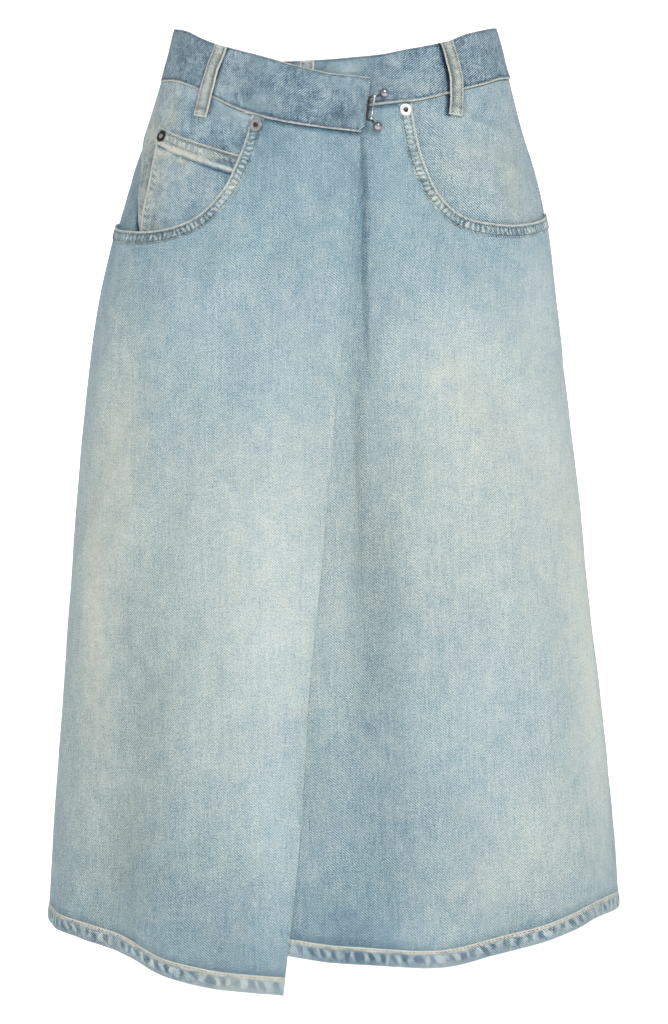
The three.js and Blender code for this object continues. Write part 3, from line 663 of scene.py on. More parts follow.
def denim(name, tone, worn=0.5, marks=0.0, pitch=4.6, grey=0.0, slope=-1, mottled=1.0, cream=0.0, lines=1.0,
          roam_by=7.0):
    """Faded twill. tone is its lightness from 0 to 1, worn the cream of its edges, marks the dark blue marks
    between its stitch rows, pitch their spacing in millimetres and roam_by their unevenness, slope which
    way its twill runs and lines how plain that is, and grey and cream how far all of it has gone that way."""
    tree = Tree(name)
    weave, seam = tree.read("weave"), tree.read("seam")
    across_weave = tree.add("ShaderNodeSeparateXYZ", 0, {0: weave})
    down_weave = across_weave.node.outputs[1]
    wander = tree.noise(weave, (14, 26, 1))
    turns = tree.sum((across_weave, slope * 455), (down_weave, 512), wander)
    stripes = tree.maths("SINE", tree.times(turns, 2 * math.pi))
    warp = tree.noise(weave, (0.9, 12, 1))
    slub = tree.noise(weave, (2.6, 70, 1))
    weft = tree.noise(weave, (11, 1.0, 1))
    grain = tree.noise(weave, (1.0, 1.0, 1), 2.0, 0.7)
    fleck = tree.noise(weave, (2.2, 3.0, 1))
    blotch = tree.noise(weave, (6, 5, 1), 3.0, 0.6)
    mottle = tree.noise(weave, (13, 16, 1), 3.0)
    cloud = tree.noise(weave, (55, 80, 1), 3.0)
    twill = tree.times(stripes, tree.sum((warp, 2.0), 0.75))
    along = tree.add("ShaderNodeSeparateXYZ", 0, {0: seam})
    across, edge = along.node.outputs[1], along.node.outputs[2]
    fade = tree.sum(
        tree.read("fade", "Fac"), tone, (twill, 0.24 * lines), (warp, 0.36), (slub, 0.18), (weft, 0.20),
        (grain, 0.6 + 0.65 * lines), (fleck, 0.12 + 0.14 * mottled), (blotch, 0.30 * (mottled - 1)),
        (mottle, 0.18 * mottled), (cloud, 0.14 * mottled),
    )
    if marks:
        roam = tree.noise(weave, (9, 9, 1))
        beat = tree.maths("SINE", tree.sum((along, 2 * math.pi / (pitch * MM)), (roam, roam_by)))
        strip = tree.times(tree.between(across, 0.0024, 0.0046), tree.between(across, 0.0096, 0.0072))
        strong = tree.sum((tree.noise(weave, (17, 17, 1), 1.0), 2.2), 1.0)
        mark = tree.times(tree.times(tree.sum(tree.between(beat, -0.8, 0.6), -0.5), strip), strong)
        fade = tree.sum(fade, (mark, -marks))
    greyed = tree.sum(tree.read("grey", "Fac"), grey, (mottle, 0.9), (fleck, 0.5))
    colour = tree.mixed(greyed, tree.ramp(fade, BLUE), tree.ramp(fade, GREY))
    violet = tree.noise(weave, (8, 9, 3))
    colour = tree.mixed(tree.between(violet, 0.05, 0.30, 0, 0.15 * mottled), colour, (146, 160, 190))
    light = tree.sum((grain, 1.3), (twill, 0.2), (blotch, 0.8), 0.45)
    pale = tree.ramp(light, [(0.0, [c * 0.72 for c in CREAM]), (0.5, CREAM), (1.0, (230, 230, 221))])
    over = tree.between(greyed, 1.0, 2.2, 0.0, 0.75)
    at_edge = tree.between(tree.sum(edge, (mottle, 0.003)), 0.0022, 0.0002)
    rubbed = tree.times(at_edge, tree.sum((fleck, 1.2), worn))
    colour = tree.mixed(tree.sum(rubbed, over, cream), colour, pale)
    back = tree.mixed(0.55, tree.ramp(tree.sum(fade, 0.16), BLUE), tree.ramp(tree.sum(fade, 0.18), GREY))
    tree.surface({
        "Base Color": tree.mixed(tree.read("inside", "Fac"), colour, back),
        "Roughness": 0.95, "Specular IOR Level": 0.15, "Sheen Weight": 0.04, "Sheen Roughness": 0.5,
    })
    tree.bump(tree.sum((twill, 0.5), warp, (weft, 0.5), (grain, 1.2)), 0.00035)
    return tree.material


def thread(name, colour):
    tree = Tree(name)
    place = tree.add("ShaderNodeTexCoord", "Object")
    tone = tree.sum(tree.noise(place, (1.5, 1.5, 1.5)), tree.noise(place, (14, 14, 14)), 0.5)
    dark, pale = [c * 0.72 for c in colour], [min(255, c * 1.22) for c in colour]
    stops = [(0.15, dark), (0.5, colour), (0.9, pale)]
    tree.surface({"Base Color": tree.ramp(tone, stops), "Roughness": 0.8})
    tree.bump(tree.noise(place, (0.3, 0.3, 0.3)), 0.0002)
    return tree.material


def steel(name, colour, rough):
    tree = Tree(name)
    place = tree.add("ShaderNodeTexCoord", "Object")
    cloud = tree.noise(place, (2.5, 2.5, 2.5), 3.0)
    scratch = tree.noise(place, (0.25, 2.0, 0.25))
    tree.surface({
        "Base Color": tree.ramp(tree.sum(cloud, 0.6), [(0.25, [c * 0.55 for c in colour]), (0.6, colour)]),
        "Metallic": 1.0, "Roughness": tree.sum((cloud, 0.3), rough),
    })
    tree.bump(tree.sum(cloud, (scratch, 0.4)), 0.0001)
    return tree.material


PANEL_LOOK = denim("panel_denim", 0.64, worn=0.10)
FACING_LOOK = denim("facing_denim", 0.66, worn=0.35, mottled=1.7, lines=1.6)
POCKET_LOOK = denim("pocket_denim", 0.68, worn=0.35, mottled=2.9, lines=1.5)
BAND_LOOK = denim("band_denim", 0.50, worn=0.95, marks=0.12, pitch=5.6, slope=1, mottled=3.0, lines=1.9,
                  grey=-0.6)
HEM_LOOK = denim("hem_denim", 0.63, worn=1.2, marks=0.46, pitch=HEM_PITCH, mottled=2.8, roam_by=8.0,
                 lines=2.1)
EDGE_LOOK = denim("pocket_edge_denim", 0.66, worn=1.1, marks=0.34, pitch=MOUTH_PITCH, grey=0.35, mottled=3.0,
                  roam_by=11.0)
LOOP_LOOK = denim("belt_loop_denim", 0.62, worn=0.85, grey=1.0, cream=0.26, mottled=3.8, lines=1.9)
COIN_LOOK = denim("coin_denim", 0.64, worn=0.9, marks=0.26, pitch=COIN_PITCH, mottled=2.5, roam_by=9.0,
                  lines=1.5)
THREAD = thread("thread", (96, 87, 75))
PALE_THREAD = thread("pale_thread", (206, 203, 188))
# The pale, warm and dark metals of the rivets stand for one nickel and one dark steel, lit and shaded:
# painted light and shade.
PALE_METAL = steel("pale_metal", (226, 223, 221), 0.45)
WARM_METAL = steel("warm_metal", (176, 174, 172), 0.48)
BRIGHT_STEEL = steel("bright_steel", (206, 206, 208), 0.25)
BALL_STEEL = steel("ball_steel", (172, 170, 176), 0.30)
DARK_STEEL = steel("dark_steel", (80, 78, 81), 0.28)


# Lifts of the layers, as in part.mjs

def flap_lift(turn, height):
    over_pocket = mix(FACING_LIFT, FLAP_LIFT, ease(-76, -60, turn)) - 0.8 * bell(turn, -90, 7)
    hems = (HEM_IN + HEM_OUT + 0.3) * ease(-610, -670, height)
    below = (FACING_LIFT + hems) * ease(-70, -42, turn)
    return mix(below, over_pocket, ease(-255, -175, height))


def flap_drape(turn, height):
    """The flap's lift in the scene, where its free edge rests on the panel under it."""
    near = ease(-17, -3, turn) * ease(-66, -100, height) * ease(-610, -560, height)
    rest = under_lift(turn, height) + CLOTH + 0.25
    lift = flap_lift(turn, height)
    return mix(lift, np.minimum(lift, rest), near)


def under_lift(turn, height):
    return mix(0, FACING_LIFT, ease(4, 20, turn))


def back_lift(turn, height):
    return FACING_LIFT / 2 * (1 + np.sin(np.radians(turn)))


def right_band_lift(turn, height):
    return mix(BAND_LIFT, BAND_OVER_LIFT, ease(-44, -20, turn))


def left_band_lift(turn, height):
    return mix(0, BAND_LIFT, ease(4, 20, turn))


def back_band_lift(turn, height):
    return BAND_LIFT + 0 * turn


def right_facing_lift(turn, height):
    return FACING_LIFT + (FLAP_LIFT - COIN_LIFT - 0.1) * ease(-40, -24, turn) * ease(-70, -50, height)


def no_lift(turn, height):
    return 0 * turn


def bezier(handles, t):
    weights = [(1 - t) ** 3, 3 * (1 - t) ** 2 * t, 3 * (1 - t) * t * t, t ** 3]
    return tuple(sum(w * handle[axis] for w, handle in zip(weights, handles)) for axis in (0, 1))


# The four panels. A front's top follows the waist seam to the rivet, and then the pocket mouth

SEAM_SHARE = 0.28


def front_top(waist, mouth, start, s):
    share = np.clip(s / SEAM_SHARE, 0, 1)
    seam_turn = mix(start, mouth[0][0], share)
    mouth_turn, mouth_height = bezier(mouth, np.clip((s - SEAM_SHARE) / (1 - SEAM_SHARE), 0, 1))
    seam = read(waist, "turn", "seam", seam_turn) - SEAM_GAP
    on_seam = s <= SEAM_SHARE
    return on_seam, share, seam_turn, mouth_turn, np.where(on_seam, seam, mouth_height)


def flap_edge_turn(height):
    return turn_at(read(FLAP_EDGE, "height", "x", height), height)


def flap_place(s, t):
    on_seam, share, _, mouth_turn, top = front_top(RIGHT_WAIST, RIGHT_MOUTH, float(flap_edge_turn(-58.0)), s)
    hem_turn = np.where(on_seam, mix(-8, RIGHT_MOUTH[0][0], share), mouth_turn)
    height = mix(top, read(FLAP_HEM, "turn", "hem", hem_turn) + HEM_TOP, t)
    return np.where(on_seam, mix(flap_edge_turn(height), RIGHT_MOUTH[0][0], share), mouth_turn), height


def under_place(s, t):
    on_seam, share, seam_turn, mouth_turn, top = front_top(LEFT_WAIST, LEFT_MOUTH, UNDER_EDGE_TOP, s)
    foot_turn = np.where(on_seam, mix(UNDER_EDGE_HEM, LEFT_MOUTH[0][0], share), mouth_turn)
    height = mix(top, read(UNDER_HEM, "turn", "hem", foot_turn) + HEM_TOP, t)
    return np.where(on_seam, mix(seam_turn, foot_turn, t), mouth_turn), height


def back_place(start, end):
    def place(s, t):
        turn = mix(start, end, s)
        top = read(BACK_WAIST, "turn", "seam", turn) - SEAM_GAP
        return turn, mix(top, read(BACK_HEM, "turn", "hem", turn) + HEM_TOP, t)
    return place


def panel_shade(at):
    """Painted shade, partly unfaded cloth too: a panel is darker and bluer just under the band's edge and
    just over its hem.
    """
    return 0.5 * bell(at.top, 0, 2.2) * (at.s <= SEAM_SHARE + 0.002) + 0.14 * bell(at.foot, 0, 3.5)


# Painted shade, partly unfaded cloth too: a back panel is darker just under the band and just over its hem.
def back_shade(at):
    return 0.34 * bell(at.top, 0, 1.8) + 0.14 * bell(at.foot, 0, 3.5)


def under_shade(at):
    """Painted shade: besides the panel's own, the panel under the flap is darker in a strip beside the flap's
    edge, which would shade it.
    """
    edge = (at.turn - flap_edge_turn(at.height)) * degree(at.turn, at.height)
    return panel_shade(at) + 0.08 * (ease(26, 0, edge) * ease(-180, -420, at.height))


def flap_marks(at):
    """The outer front is worn at its free edge, which is its left one."""
    return at.u, FAR_OFF, np.minimum(at.left, FAR_OFF)


ROWS = np.unique(np.concatenate([steps(650, 3.7) ** 1.12, [0, 1]]))


def panel(name, place, columns, lift, bolt, shade, round_at="top", **more):
    return wall(name, place, columns, ROWS, lift, CLOTH, "denim", PANEL_LOOK, round_at=round_at, bolt=bolt,
                shade=shade, **more)


COLUMNS = steps(300, 1.7)
UNDER_COLUMNS = np.unique(np.concatenate([COLUMNS, np.linspace(0.163, 0.202, 26)]))
BACK_COLUMNS = steps(330, 4.4)
FLAP = panel("flap_panel", flap_place, COLUMNS, flap_drape, 1, panel_shade, "top left", marks=flap_marks)
UNDER = panel("under_panel", under_place, UNDER_COLUMNS, under_lift, 2, under_shade, "top left")
BACK_LEFT = panel("back_left_panel", back_place(BACK_PANELS_START, LEFT_OF_CENTRE), BACK_COLUMNS, back_lift,
                  3, back_shade)
BACK_RIGHT = panel("back_right_panel", back_place(RIGHT_OF_CENTRE, BACK_PANELS_END), BACK_COLUMNS, back_lift,
                   4, back_shade)

# Hems: the last part of each panel, folded up inside and roped by its stitching

HEM_PATCHES = rows("x height wide tall fade grey", [
    (-70, -714, 44, 20, 0.14, 0.4),
    (-196, -690, 40, 20, -0.04, 0.0),
    (-112, -704, 12, 12, -0.08, 0.0),
])


def hem_rope(at):
    swell = wave(at.u, HEM_PITCH, 1.8 * np.sin(at.u / 31) + 0.12 * at.foot)
    middle = np.sin(np.pi * np.clip(at.foot / HEM_TOP, 0, 1)) ** 0.7
    crease = wave(at.u, 5.3, 2.2 * np.sin(at.u / 23) + 0.5 * at.foot)
    return middle * (0.3 + 0.22 * swell + 0.13 * crease) - 0.3 * bell(at.foot, 12, 0.8)


def hem_marks(at):
    along = at.u + 0.25 * at.foot + 1.8 * HEM_PITCH / ROUND * np.sin(at.u / 31)
    edge = np.minimum(at.foot + 1.0, np.maximum(HEM_TOP - 0.6 - at.foot, 0) * 0.7)
    return along, at.foot * 0.86, edge


def hem_wall(name, start, end, hem, lift, length, bolt, round_at="top foot"):
    """start is a turn, or what gives one from a height."""
    def place(s, t):
        first = start if callable(start) else lambda height: start
        height = read(hem, "turn", "hem", mix(first(SIDE_HEM_HEIGHT), end, s)) + mix(HEM_TOP + 0.4, 0, t)
        return mix(first(height), end, s), height

    # Its shade is painted shade in the groove of the hem's stitch row.
    return wall(name, place, steps(length, 1.3), steps(HEM_TOP, 0.8), lambda a, b: lift(a, b) - HEM_IN,
                CLOTH + HEM_IN + 0.25, "denim", HEM_LOOK, extra=hem_rope, marks=hem_marks, bolt=bolt,
                round_at=round_at, shade=lambda at: 0.22 * bell(at.foot, 11.6, 0.8), patches=HEM_PATCHES)


FRONT_SIDES = "top foot left"
FLAP_HEM_PIECE = hem_wall("flap_hem", flap_edge_turn, RIGHT_END, FLAP_HEM, flap_lift, 330, 1, FRONT_SIDES)
UNDER_HEM_PIECE = hem_wall("under_hem", UNDER_EDGE_HEM, LEFT_END, UNDER_HEM, under_lift, 470, 2, FRONT_SIDES)
BACK_HEM_LEFT = hem_wall("back_left_hem", BACK_START, LEFT_OF_CENTRE, BACK_HEM, back_lift, 360, 3)
BACK_HEM_RIGHT = hem_wall("back_right_hem", RIGHT_OF_CENTRE, BACK_END, BACK_HEM, back_lift, 360, 4)

# The waistband


def band_place(waist, start, end):
    def place(s, t):
        turn = mix(start, end(t), s)
        return turn, mix(read(waist, "turn", "top", turn), read(waist, "turn", "seam", turn), t)
    return place


def band_end(t):
    return turn_at(read(BAND_END, "down", "x", t), mix(-18, -61, t))


def band_relief(at):
    edge = np.minimum(at.top, at.foot)
    pucker = wave(at.u, 6.1, 2 * np.sin(at.u / 23)) * bell(edge, 4, 3)
    rise = np.sin(np.pi * np.clip(at.top / BAND_DEPTH, 0, 1))
    waves = 0.35 * np.sin(at.u / 17 + 0.12 * at.height) * rise
    return 0.10 * pucker - 0.28 * bell(edge, 2.0, 0.7) + waves + 0.35 * rise


def band_marks(at):
    """The band is rubbed at its edges, at its top only where it crosses the under end."""
    crossing = ease(-27, -19, at.turn) * ease(14, 9, at.turn) * ease(-2, -4, at.height + 0.25 * at.turn)
    edge = np.minimum(at.top * 1.3 + 3 * (1 - crossing), at.foot * 1.4)
    return at.u, np.minimum(at.top, at.foot) * 1.1, edge


# Painted shade in the grooves of the band's stitch rows at its foot and top.
def band_shade(at):
    return 0.22 * bell(at.foot, 2.4, 0.9) + 0.20 * bell(at.top, 1.6, 0.8)


BAND_PATCHES = rows("x height wide tall fade grey", [
    (-118, 10, 22, 10, -0.10, 0.0),
    (-132, 22, 14, 16, -0.06, 0.8),
    (-128, -8, 24, 7, -0.06, 1.0),
    (-96, 8, 12, 14, -0.10, 0.0),
    (-60, -20, 16, 12, -0.08, -0.1),
    (-75, 2, 14, 10, 0.04, 0.3),
    (-30, -12, 12, 10, -0.06, 0.0),
    (-48, -38, 22, 6, 0.06, 0.8),
    (-5, -40, 20, 8, 0.03, 0.2),
    (40, 2, 18, 8, 0.06, 0.5),
    (66, -22, 40, 6, 0.06, 1.0),
    (60, 8, 20, 14, -0.05, 0.0),
    (84, 18, 8, 20, -0.12, 0.0),
    (104, 10, 10, 22, -0.03, 0.0),
    (122, 16, 14, 10, -0.06, 0.1),
    (5, -45, 14, 9, -0.10, 0.0),
    (120, 34, 12, 8, 0.04, 0.6),
    (12, -8, 8, 7, 0.22, 0.3),
])


def waistband(name, waist, start, end, lift, length, round_at, bolt):
    return wall(name, band_place(waist, start, end), steps(length, 1.4), steps(43, 1.4), lift, BAND_CLOTH,
                "band_denim", BAND_LOOK, extra=band_relief, marks=band_marks, round_at=round_at, bolt=bolt,
                shade=band_shade, patches=BAND_PATCHES)


BAND_RIGHT = waistband("band_right", RIGHT_WAIST, RIGHT_END, band_end, right_band_lift, 250,
                       "top foot right", 5)
BAND_LEFT = waistband("band_left", LEFT_WAIST, UNDER_BAND_END, lambda t: LEFT_END, left_band_lift, 260,
                      "top foot left", 6)
BAND_BACK = waistband("band_back", BACK_WAIST, BACK_START, lambda t: BACK_END, back_band_lift, 380,
                      "top foot", 7)

# Inside the pocket mouths


def right_facing_place(s, t):
    height = mix(0, FACING_FOOT, t)
    turn = mix(read(FACING_EDGE, "height", "turn", height), RIGHT_MOUTH[0][0] + 4.6, s)
    return turn, mix(read(RIGHT_WAIST, "turn", "seam", turn) - SEAM_GAP, FACING_FOOT, t)


def left_facing_place(s, t):
    turn = mix(LEFT_MOUTH[0][0] - 3, INNER_END, s)
    return turn, mix(read(LEFT_WAIST, "turn", "seam", turn) - SEAM_GAP, FACING_FOOT, t)


def right_side_place(s, t):
    height = mix(SIDE_TOP, FACING_FOOT, t)
    edge = read(FACING_EDGE, "height", "turn", height)
    return mix(-INNER_END, np.minimum(edge + 9, -50), s), height


def coin_place(s, t):
    top = mix(COIN_OUTER, COIN_INNER, s)
    height = mix(top, COIN_FOOT, t)
    edge = mix(COIN_OUTER, COIN_FOOT, (top - height) / (top - COIN_FOOT))
    return mix(read(COIN_EDGE, "height", "turn", edge), COIN_INNER_TURN, s), height


RIGHT_POCKET_PATCHES = rows("x height wide tall fade grey", [
    (-146, -45, 16, 26, 0.0, 1.3),
    (-152, -110, 9, 60, -0.2, 1.6),
    (-112, -40, 12, 16, -0.14, -0.1),
    (-120, -52, 18, 7, -0.08, 0.0),
    (-88, -60, 14, 16, -0.10, -0.1),
    # Painted shade in a crease beside the mouth.
    (-72, -62, 4, 9, -0.14, 0.0),
    (-128, -36, 8, 22, 0.04, 0.9),
    (-100, -72, 26, 8, -0.10, 0.0),
    # Painted shade along the facing's free edge.
    (-150, -120, 14, 60, -0.12, -0.2),
])
SIDE_PATCHES = rows("x height wide tall fade grey", [
    (-146, -45, 16, 26, 0.0, 1.3),
    (-160, -94, 20, 20, -0.11, -0.2),
    (-165, -126, 30, 22, -0.06, -0.9),
])
LEFT_POCKET_PATCHES = rows("x height wide tall fade grey", [
    (62, -62, 16, 22, -0.10, 0.0),
    (80, -30, 40, 10, -0.08, 0.0),
    (105, -85, 30, 30, 0.04, 0.5),
    (145, -90, 24, 44, 0.06, 0.7),
    (120, -138, 50, 12, -0.18, -0.3),
    (72, -110, 14, 20, -0.06, 0.0),
])


# Painted shadow: the side piece is darkest just beside the facing's raised free edge, and a little darker all
# over.
def side_shade(at):
    edge = (read(FACING_EDGE, "height", "turn", at.height) - at.turn) * degree(at.turn, at.height)
    return np.exp(-(edge / 4.6) ** 4) + 0.04


def side_lift(turn, height):
    return -LAYER_GAP - 1.8 * bell(height, -100, 15)


FACING_RIGHT = wall("facing_right", right_facing_place, steps(190, 2.0), steps(150, 2.0), right_facing_lift,
                    CLOTH, "denim", POCKET_LOOK, marks=lambda at: (at.u, FAR_OFF, at.left * 0.35), bolt=8,
                    patches=RIGHT_POCKET_PATCHES)
FACING_LEFT = wall("facing_left", left_facing_place, steps(200, 2.0), steps(120, 2.0), 0, CLOTH, "denim",
                   FACING_LOOK, bolt=9, patches=LEFT_POCKET_PATCHES, round_at="top")
SIDE_RIGHT = wall("side_right", right_side_place, steps(60, 2.2), steps(142, 2.4), side_lift, CLOTH, "denim",
                  FACING_LOOK, bolt=10, round_at="top right", patches=SIDE_PATCHES, shade=side_shade)

COIN_PATCHES = rows("x height wide tall fade grey", [
    (-143, -95, 10, 40, 0.02, 1.3),
    (-140, -140, 18, 16, -0.12, 0.4),
    (-130, -60, 22, 9, 0.06, 1.0),
    (-104, -71, 26, 8, 0.05, 0.8),
    (-126, -71, 22, 3.4, 0.08, 1.5),
    (-104, -78, 22, 3.4, 0.08, 1.2),
    (-100, -132, 30, 12, -0.15, -0.3),
    (-80, -100, 10, 30, -0.08, -0.1),
    (-118, -95, 22, 16, 0.03, 0.2),
])


def coin_relief(at):
    hem = ease(COIN_HEM + 0.8, COIN_HEM - 0.6, at.top)
    ridge = 1.1 * bell(at.top, 13.6, 2.0)
    grooves = -0.35 * bells(at.top, (2.6, 10.2), 0.6)
    rope = 0.2 * wave(at.u, COIN_PITCH) * bell(at.top, 6.5, 2.4)
    strip = ease(9.6, 8.2, at.left) * (0.35 + 0.15 * wave(at.top, 5.2))
    side_grooves = -0.3 * bells(at.left, COIN_SIDE_ROWS, 0.6)
    under = 1 - ease(-34, -24, at.turn)
    return (hem * 0.5 + (ridge + grooves + rope) * hem + (strip + side_grooves) * (1 - hem)) * under


def coin_marks(at):
    on_hem = at.top < COIN_HEM - 3
    across = np.where(on_hem, at.top * 0.85, np.where(at.left < 9.5, at.left + 0.8, FAR_OFF))
    edge = np.minimum(np.minimum(at.top, at.left * 0.8), np.abs(at.top - 13.4) * 0.8 + 0.2)
    return np.where(on_hem, at.u, at.top * 0.8), across, edge


# Painted shade: a dark line under the hem's rolled ridge, and darker stitch grooves.
def coin_shade(at):
    return 0.42 * bell(at.top, 17.0, 1.1) * ease(1, 5, at.left) + 0.16 * bells(at.top, (2.6, 10.2), 0.7)


COIN_TOP = wall("coin_pocket_patch", coin_place, steps(95, 0.9), steps(90, 0.9), COIN_LIFT, CLOTH,
                "pale_denim", COIN_LOOK, extra=coin_relief, marks=coin_marks, bolt=11, patches=COIN_PATCHES,
                shade=coin_shade)

# The stitched strips on the pocket mouths, drawn out from the mouth across the panel


def mouth_line(mouth, s, out):
    """The turn and height of points that lie out, in millimetres, from the mouth, on the panel."""
    s, out = np.broadcast_arrays(np.asarray(s, float), np.asarray(out, float))
    turn, height = bezier(mouth, s)
    next_turn, next_height = bezier(mouth, s + 0.01)
    side = np.sign(mouth[3][0])
    wide = degree(turn, height)
    dx, dy = (next_turn - turn) * wide, next_height - height
    length = np.hypot(dx, dy)
    return turn + side * dy / length * out / wide, height - side * dx / length * out


EDGE_PATCHES = rows("x height wide tall fade grey", [
    (-118, -136, 50, 14, -0.11, 0.2),
    (124, -134, 52, 12, -0.13, 0.1),
    (-82, -76, 10, 24, 0.06, 0.5),
    (-88, -100, 16, 10, 0.05, 0.8),
    (70, -70, 8, 18, 0.08, 0.5),
    (80, -110, 14, 12, -0.04, 0.6),
])


def strip_relief(at):
    run = at.left[:1]
    rope = 0.24 * wave(run, MOUTH_PITCH, 1.2 * np.sin(run / 15)) * bell(at.top, 5.4, 2.2)
    return (rope - 0.28 * bells(at.top, MOUTH_ROWS, 0.6) + 0.3 * bell(at.top, 0, 1.5)) * ease(1.0, 0.9, at.s)


def strip_marks(at):
    run = at.left[:1]
    return run + 1.2 * MOUTH_PITCH / ROUND * np.sin(run / 15), at.top + 0.3, at.top * 1.2


# Painted shade in the stitch grooves, and darker towards the strip's outer side.
def strip_shade(at):
    return 0.20 * bells(at.top, MOUTH_ROWS, 0.7) + 0.12 * ease(9.0, 10.5, at.top)


def strip_cloth(at):
    return mix(1.0, 0.3, ease(0.82, 1.0, at.t)) * mix(1, 0.3, ease(0.9, 1.0, at.s))


def edge_strip(name, mouth, waist, lift):
    def place(s, t):
        turn, height = mouth_line(mouth, s, t * POCKET_EDGE_WIDTH)
        highest = read(waist, "turn", "seam", turn) - 2 * SEAM_GAP
        return np.clip(turn, -INNER_END, INNER_END), np.minimum(height, highest)

    return wall(name, place, steps(240, 1.0, 0, 0.997), steps(POCKET_EDGE_WIDTH, 0.6),
                lambda a, b: lift(a, b) + CLOTH + 0.15, strip_cloth, "pale_denim", EDGE_LOOK,
                extra=strip_relief, marks=strip_marks, bolt=12, round_at="top foot left", shade=strip_shade,
                patches=EDGE_PATCHES)


EDGE_RIGHT = edge_strip("pocket_mouth_right", RIGHT_MOUTH, RIGHT_WAIST, flap_lift)
EDGE_LEFT = edge_strip("pocket_mouth_left", LEFT_MOUTH, LEFT_WAIST, under_lift)

# Stitches are noted line by line here, and made into one mesh at the end

stitch_lines = []


def stitch(points, normals, length=2.6, gap=0.7, radius=0.38, sink=0.12):
    """Puts stitches along a line, each a slim rounded thread that dips at its ends."""
    way = np.concatenate([[0], np.cumsum(np.linalg.norm(np.diff(points, axis=0), axis=1))])
    centres = np.arange(length / 2, way[-1] - length / 2, length + gap)

    def along(values, shift=0.0):
        return np.stack([np.interp(centres + shift * length, way, values[:, k]) for k in range(3)], 1)

    run = along(points, 0.4) - along(points, -0.4)
    run /= np.linalg.norm(run, axis=1, keepdims=True)
    up = along(normals)
    up -= run * np.einsum("ij,ij->i", up, run)[:, None]
    up /= np.linalg.norm(up, axis=1, keepdims=True)
    stitch_lines.append((along(points) - up * sink, run, up, np.cross(run, up), length, radius))


def on_cloth(turn, height, lift):
    turn, height = np.broadcast_arrays(np.asarray(turn, float), np.asarray(height, float))
    level = lift + relief(turn[None], height[None])[0]
    return skin(turn, height, level), outward(turn, height)


# Belt loops

LOOPS = [
    ("front_right", "right", RIGHT_WAIST, *RIGHT_LOOP, 2.4, right_band_lift, right_facing_lift),
    ("front_left", "left", LEFT_WAIST, *LEFT_LOOP, 4.6, left_band_lift, no_lift),
    *(("back_" + side, "back", BACK_WAIST, turn, turn, 0, 3.2, back_band_lift, back_lift)
      for side, turn in (("left", 133), ("centre", 180), ("right", 227))),
    ("under", "left", LEFT_WAIST, -7.3, -7.3, 0, 0, left_band_lift, left_band_lift),
]


def loop_marks(at):
    near = np.minimum(np.minimum(at.left, at.right), np.minimum(at.top, at.foot))
    return at.top, FAR_OFF, near * 1.5


# Painted shade in the grooves of the loop's stitch rows, and a dark line just above its raised foot.
def loop_shade(at):
    row_groove_shade = bell(np.minimum(at.left, at.right), LOOP_ROW, 0.9)
    return 0.30 * row_groove_shade + 0.4 * (ease(0.84, 0.89, at.t) * ease(0.93, 0.90, at.t))


def belt_loop(name, band, waist, top, foot, sway, bow, on_top, on_foot):
    """A strap sewn at both ends that bows off the band between them. The under one lies pressed flat."""
    flat = name == "under"
    cloth, rest = (CLOTH - 0.1, SEAM_GAP) if flat else (LOOP_CLOTH, REST)
    top_height = read(waist, "turn", "top", top) - 0.8
    foot_height = read(waist, "turn", "seam", foot) - LOOP_DROP
    highest = float(on_top(np.array(float(top)), top_height)) + BAND_CLOTH + rest
    lowest = float(on_foot(np.array(float(foot)), foot_height)) + (BAND_CLOTH if flat else CLOTH) + rest
    length = top_height - foot_height

    def path(t):
        lift = mix(highest, lowest, ease(0.5, 1, t)) + bow * arch(t)
        return mix(top, foot, t) + sway * arch(t), mix(top_height, foot_height, t), lift

    def place(s, t):
        turn, height, _ = path(t)
        wide = degree(turn, height)
        after, before = path(np.clip(t + 0.06, 0, 1)), path(np.clip(t - 0.06, 0, 1))
        run = body(after[0], after[1]) - body(before[0], before[1])
        square = (run * along_turn(turn, height)).sum(-1) / wide / (after[1] - before[1])
        on_edge = (read(waist, "turn", "top", top - 1) - read(waist, "turn", "top", top + 1)) / 2 / wide
        slant = mix(on_edge, np.clip(square, -0.35, 0.35), ease(0, 0.3, t))
        half = (s - 0.5) * (LOOP_WIDTH - 0.3 * np.sin(t * 31) ** 2 - 0.3 * np.sin(t * 17 + 2 * s))
        return turn + half / wide, height - half * slant

    def loop_relief(at):
        grooves = -0.45 * (bell(at.left, LOOP_ROW, 0.6) + bell(at.right, LOOP_ROW, 0.6))
        ends = 0.7 * (ease(0.07, 0.03, at.t) + ease(0.92, 0.95, at.t)) * (not flat)
        ripple = 0.30 * wave(at.top, 5.1, at.left) + 0.2 * wave(at.top, 2.7, 2 * at.left)
        return grooves + ends + (0.35 + ripple) * bell(at.left, 5.5, 2.6)

    across, down = steps(LOOP_WIDTH, 0.7), steps(length, 0.9)
    made = wall("loop_" + name, place, across, down, path(down[:, None])[2], cloth, "pale_denim", LOOP_LOOK,
                extra=loop_relief, marks=loop_marks, bolt=13, shade=loop_shade)
    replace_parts(made, "belt_loop_" + name)
    along = np.linspace(0.03, 0.97, 60)
    for offset in (-1, 1):
        turn, height = place(0.5 + offset * (0.5 - LOOP_ROW / LOOP_WIDTH), along)
        stitch(*on_cloth(turn, height, path(along)[2] + cloth - 0.2), length=2.2, radius=0.33)
    for at in (0.045, 0.955):
        side = np.linspace(0.08, 0.92, 12)
        turn, height = place(side, at + 0 * side)
        stitch(*on_cloth(turn, height, path(at)[2] + cloth + 0.25), length=1.3, gap=0.25, radius=0.36)


for loop in LOOPS:
    belt_loop(*loop)

# Stitching on the band, mouths, coin pocket, hems and seams


def line_on(source, column, start, end, below, lift, over, count=400, length=2.6):
    turn = np.linspace(start, end, count)
    height = read(source, "turn", column, turn) - below
    stitch(*on_cloth(turn, height, lift(turn, height) + over), length)


